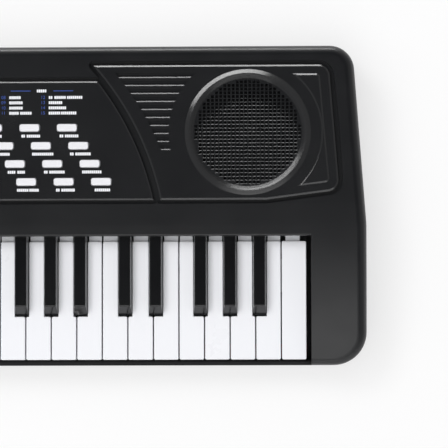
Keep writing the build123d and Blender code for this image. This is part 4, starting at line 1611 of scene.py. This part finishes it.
@dataclass
class Studio:
    """White floor, soft lamps and the camera over the right half of the keyboard.

    Attributes:
        dark_patch: Darker patch overhead in a bright room.
        front_glow: Bright patch in front of it, which shows on sloping fronts.
        camera_place: Where the camera hangs.
        camera_turn: Its turn about X, Y and Z in degrees.
        focal_share: Its focal length as a share of the sensor's width.
        floor_glow: Share of plain white in what the camera sees of the floor.
    """

    dark_patch: RoundPatch = RoundPatch((0.10, 0.20, 0.97), 18.0, 50.0, 0.05, 0.6)
    front_glow: RoundPatch = RoundPatch((-0.06, -0.45, 0.89), 9.0, 25.0, 2.5, 0.0)
    camera_place: Place = (157.9, -94.3, 1541.8)
    camera_turn: Place = (3.163, 1.432, -0.133)
    focal_share: float = 5.557
    sensor: float = 36.0
    sight_m: float = 20.0
    floor_half_m: float = 3.0
    floor_colour: Colour = (0.9, 0.9, 0.905)
    floor_roughness: float = 0.8
    floor_specular: float = 0.1
    floor_glow: float = 0.66
    softboxes: tuple[Softbox, ...] = (
        Softbox("overhead softbox", (-0.5, 0.3, 2.6), (3.0, 2.6), 42.0, for_gloss=False),
        Softbox("rear left softbox", (-1.6, 1.4, 3.2), (1.2, 1.2), 30.0, for_gloss=False),
        Softbox("rear strip", (-1.0, 2.8, 0.45), (4.5, 0.45), 105.0, for_colour=False),
        Softbox("front strip", (0.5, -2.85, 0.92), (4.2, 0.36), 15.0, for_colour=False),
    )

    def build(self) -> None:
        """Sets up floor, lamps, world and camera."""
        self._floor()
        for softbox in self.softboxes:
            softbox.hang()
        self._world()
        self._camera()

    def _floor(self) -> None:
        """Lays the floor, which is clear from below and for light that matt surfaces gather."""
        bm = bmesh.new()
        bmesh.ops.create_grid(bm, x_segments=1, y_segments=1, size=self.floor_half_m)
        mesh = finished_mesh("studio_floor", bm)
        floor = new_object("studio_floor", mesh)
        material = bpy.data.materials.new("white_floor")
        material.use_nodes = True
        sheet = NodeSheet(material.node_tree)
        coat = {
            "Base Color": (*self.floor_colour, 1),
            "Roughness": self.floor_roughness,
            "Specular IOR Level": self.floor_specular,
        }
        paint = sheet.add("ShaderNodeBsdfPrincipled", coat).outputs["BSDF"]
        glow = sheet.add("ShaderNodeEmission").outputs["Emission"]
        clear = sheet.add("ShaderNodeBsdfTransparent").outputs["BSDF"]
        rays = sheet.add("ShaderNodeLightPath").outputs
        below = sheet.add("ShaderNodeNewGeometry").outputs["Backfacing"]
        shares = {0: rays["Is Camera Ray"], 1: self.floor_glow}
        seen = sheet.add("ShaderNodeMath", shares, operation="MULTIPLY").outputs["Value"]
        gathered = {0: below, 1: rays["Is Diffuse Ray"]}
        gone = sheet.add("ShaderNodeMath", gathered, operation="MAXIMUM").outputs["Value"]
        top = sheet.add("ShaderNodeMixShader", {"Fac": seen, 1: paint, 2: glow}).outputs["Shader"]
        whole = sheet.add("ShaderNodeMixShader", {"Fac": gone, 1: top, 2: clear}).outputs["Shader"]
        sheet.add("ShaderNodeOutputMaterial", {"Surface": whole})
        mesh.materials.append(material)

    def _world(self) -> None:
        """Makes a bright room with a dark and a bright patch overhead, which the camera sees as white."""
        world = bpy.data.worlds.new("studio_room")
        world.use_nodes = True
        sheet = NodeSheet(world.node_tree)
        way = sheet.add("ShaderNodeTexCoord").outputs["Generated"]
        levels = {0: self.dark_patch.level(sheet, way), 1: self.front_glow.level(sheet, way)}
        both = sheet.add("ShaderNodeMath", levels, operation="ADD").outputs["Value"]
        seen = sheet.add("ShaderNodeLightPath").outputs["Is Camera Ray"]
        level = sheet.add("ShaderNodeMix", {"Factor": seen, "A": both, "B": 1.0}, data_type="FLOAT")
        background = sheet.add("ShaderNodeBackground", {"Strength": level.outputs["Result"]})
        sheet.add("ShaderNodeOutputWorld", {"Surface": background.outputs["Background"]})
        bpy.context.scene.world = world

    def _camera(self) -> None:
        """Hangs the camera."""
        camera = bpy.data.cameras.new("overhead_camera")
        camera.sensor_width = self.sensor
        camera.lens = self.focal_share * self.sensor
        camera.clip_end = self.sight_m
        holder = new_object("overhead_camera", camera)
        holder.location = Vector(self.camera_place) * MM
        holder.rotation_euler = [math.radians(angle) for angle in self.camera_turn]
        bpy.context.scene.camera = holder


# ---------------------------------------------------------------- assembly


KEPT_NODES: dict[str, Slot] = {
    "upper_case": Slot.CASE,
    "lower_case": Slot.CASE,
    "key_frame": Slot.KEY_FRAME,
    "key_felt": Slot.FELT,
    "contact_board": Slot.BOARD,
    "contact_rubber": Slot.CONTACT_RUBBER,
    "main_board": Slot.BOARD,
    "speaker_frames": Slot.SPEAKER_STEEL,
    "speaker_cones": Slot.SPEAKER_PAPER,
    "speaker_magnets": Slot.MAGNET,
    "battery_contacts": Slot.CONTACT_STEEL,
    "rear_sockets": Slot.SOCKET,
    "rubber_feet": Slot.FOOT,
    "power_switch": Slot.SWITCH,
    "battery_door": Slot.DOOR,
}
BUTTON_COUNTS = (3, 4, 4, 5)


def main(frame: dict[str, object]) -> None:
    """Builds the keyboard's looks and its studio.
    """
    workshop = Workshop(Finisher())
    for node, slot in KEPT_NODES.items():
        workshop.keep(node, slot)
    for node in frame["nodes"]:
        if node.startswith("white_key"):
            WhiteKey(workshop, node).build()
        elif node.startswith("black_key"):
            BlackKey(workshop, node).build()
    SpeakerPanel(workshop, "right_speaker_panel", 1).build()
    SpeakerPanel(workshop, "left_speaker_panel", -1).build()
    counts = enumerate(BUTTON_COUNTS, start=1)
    rows = [ButtonRow(workshop, f"button_row_{number}", count) for number, count in counts]
    for row in rows:
        row.build()
    ControlPanel(workshop, rows).build()
    PanelPrint(workshop, rows).build()
    CaseScrews(workshop).build()
    SocketFittings(workshop).build()
    GripRidges(workshop).build()
    Studio().build()


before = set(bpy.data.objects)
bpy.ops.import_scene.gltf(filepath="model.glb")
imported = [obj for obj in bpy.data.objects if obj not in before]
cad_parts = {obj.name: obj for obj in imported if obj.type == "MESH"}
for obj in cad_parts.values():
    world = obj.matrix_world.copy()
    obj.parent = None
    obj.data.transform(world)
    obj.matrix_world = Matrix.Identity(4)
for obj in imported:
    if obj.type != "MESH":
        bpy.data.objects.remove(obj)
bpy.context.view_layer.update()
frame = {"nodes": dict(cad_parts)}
bpy.context.scene.view_settings.view_transform = "Standard"

if __name__ == "__main__":
    logging.basicConfig(level=logging.INFO, format="%(message)s")
    main(frame)
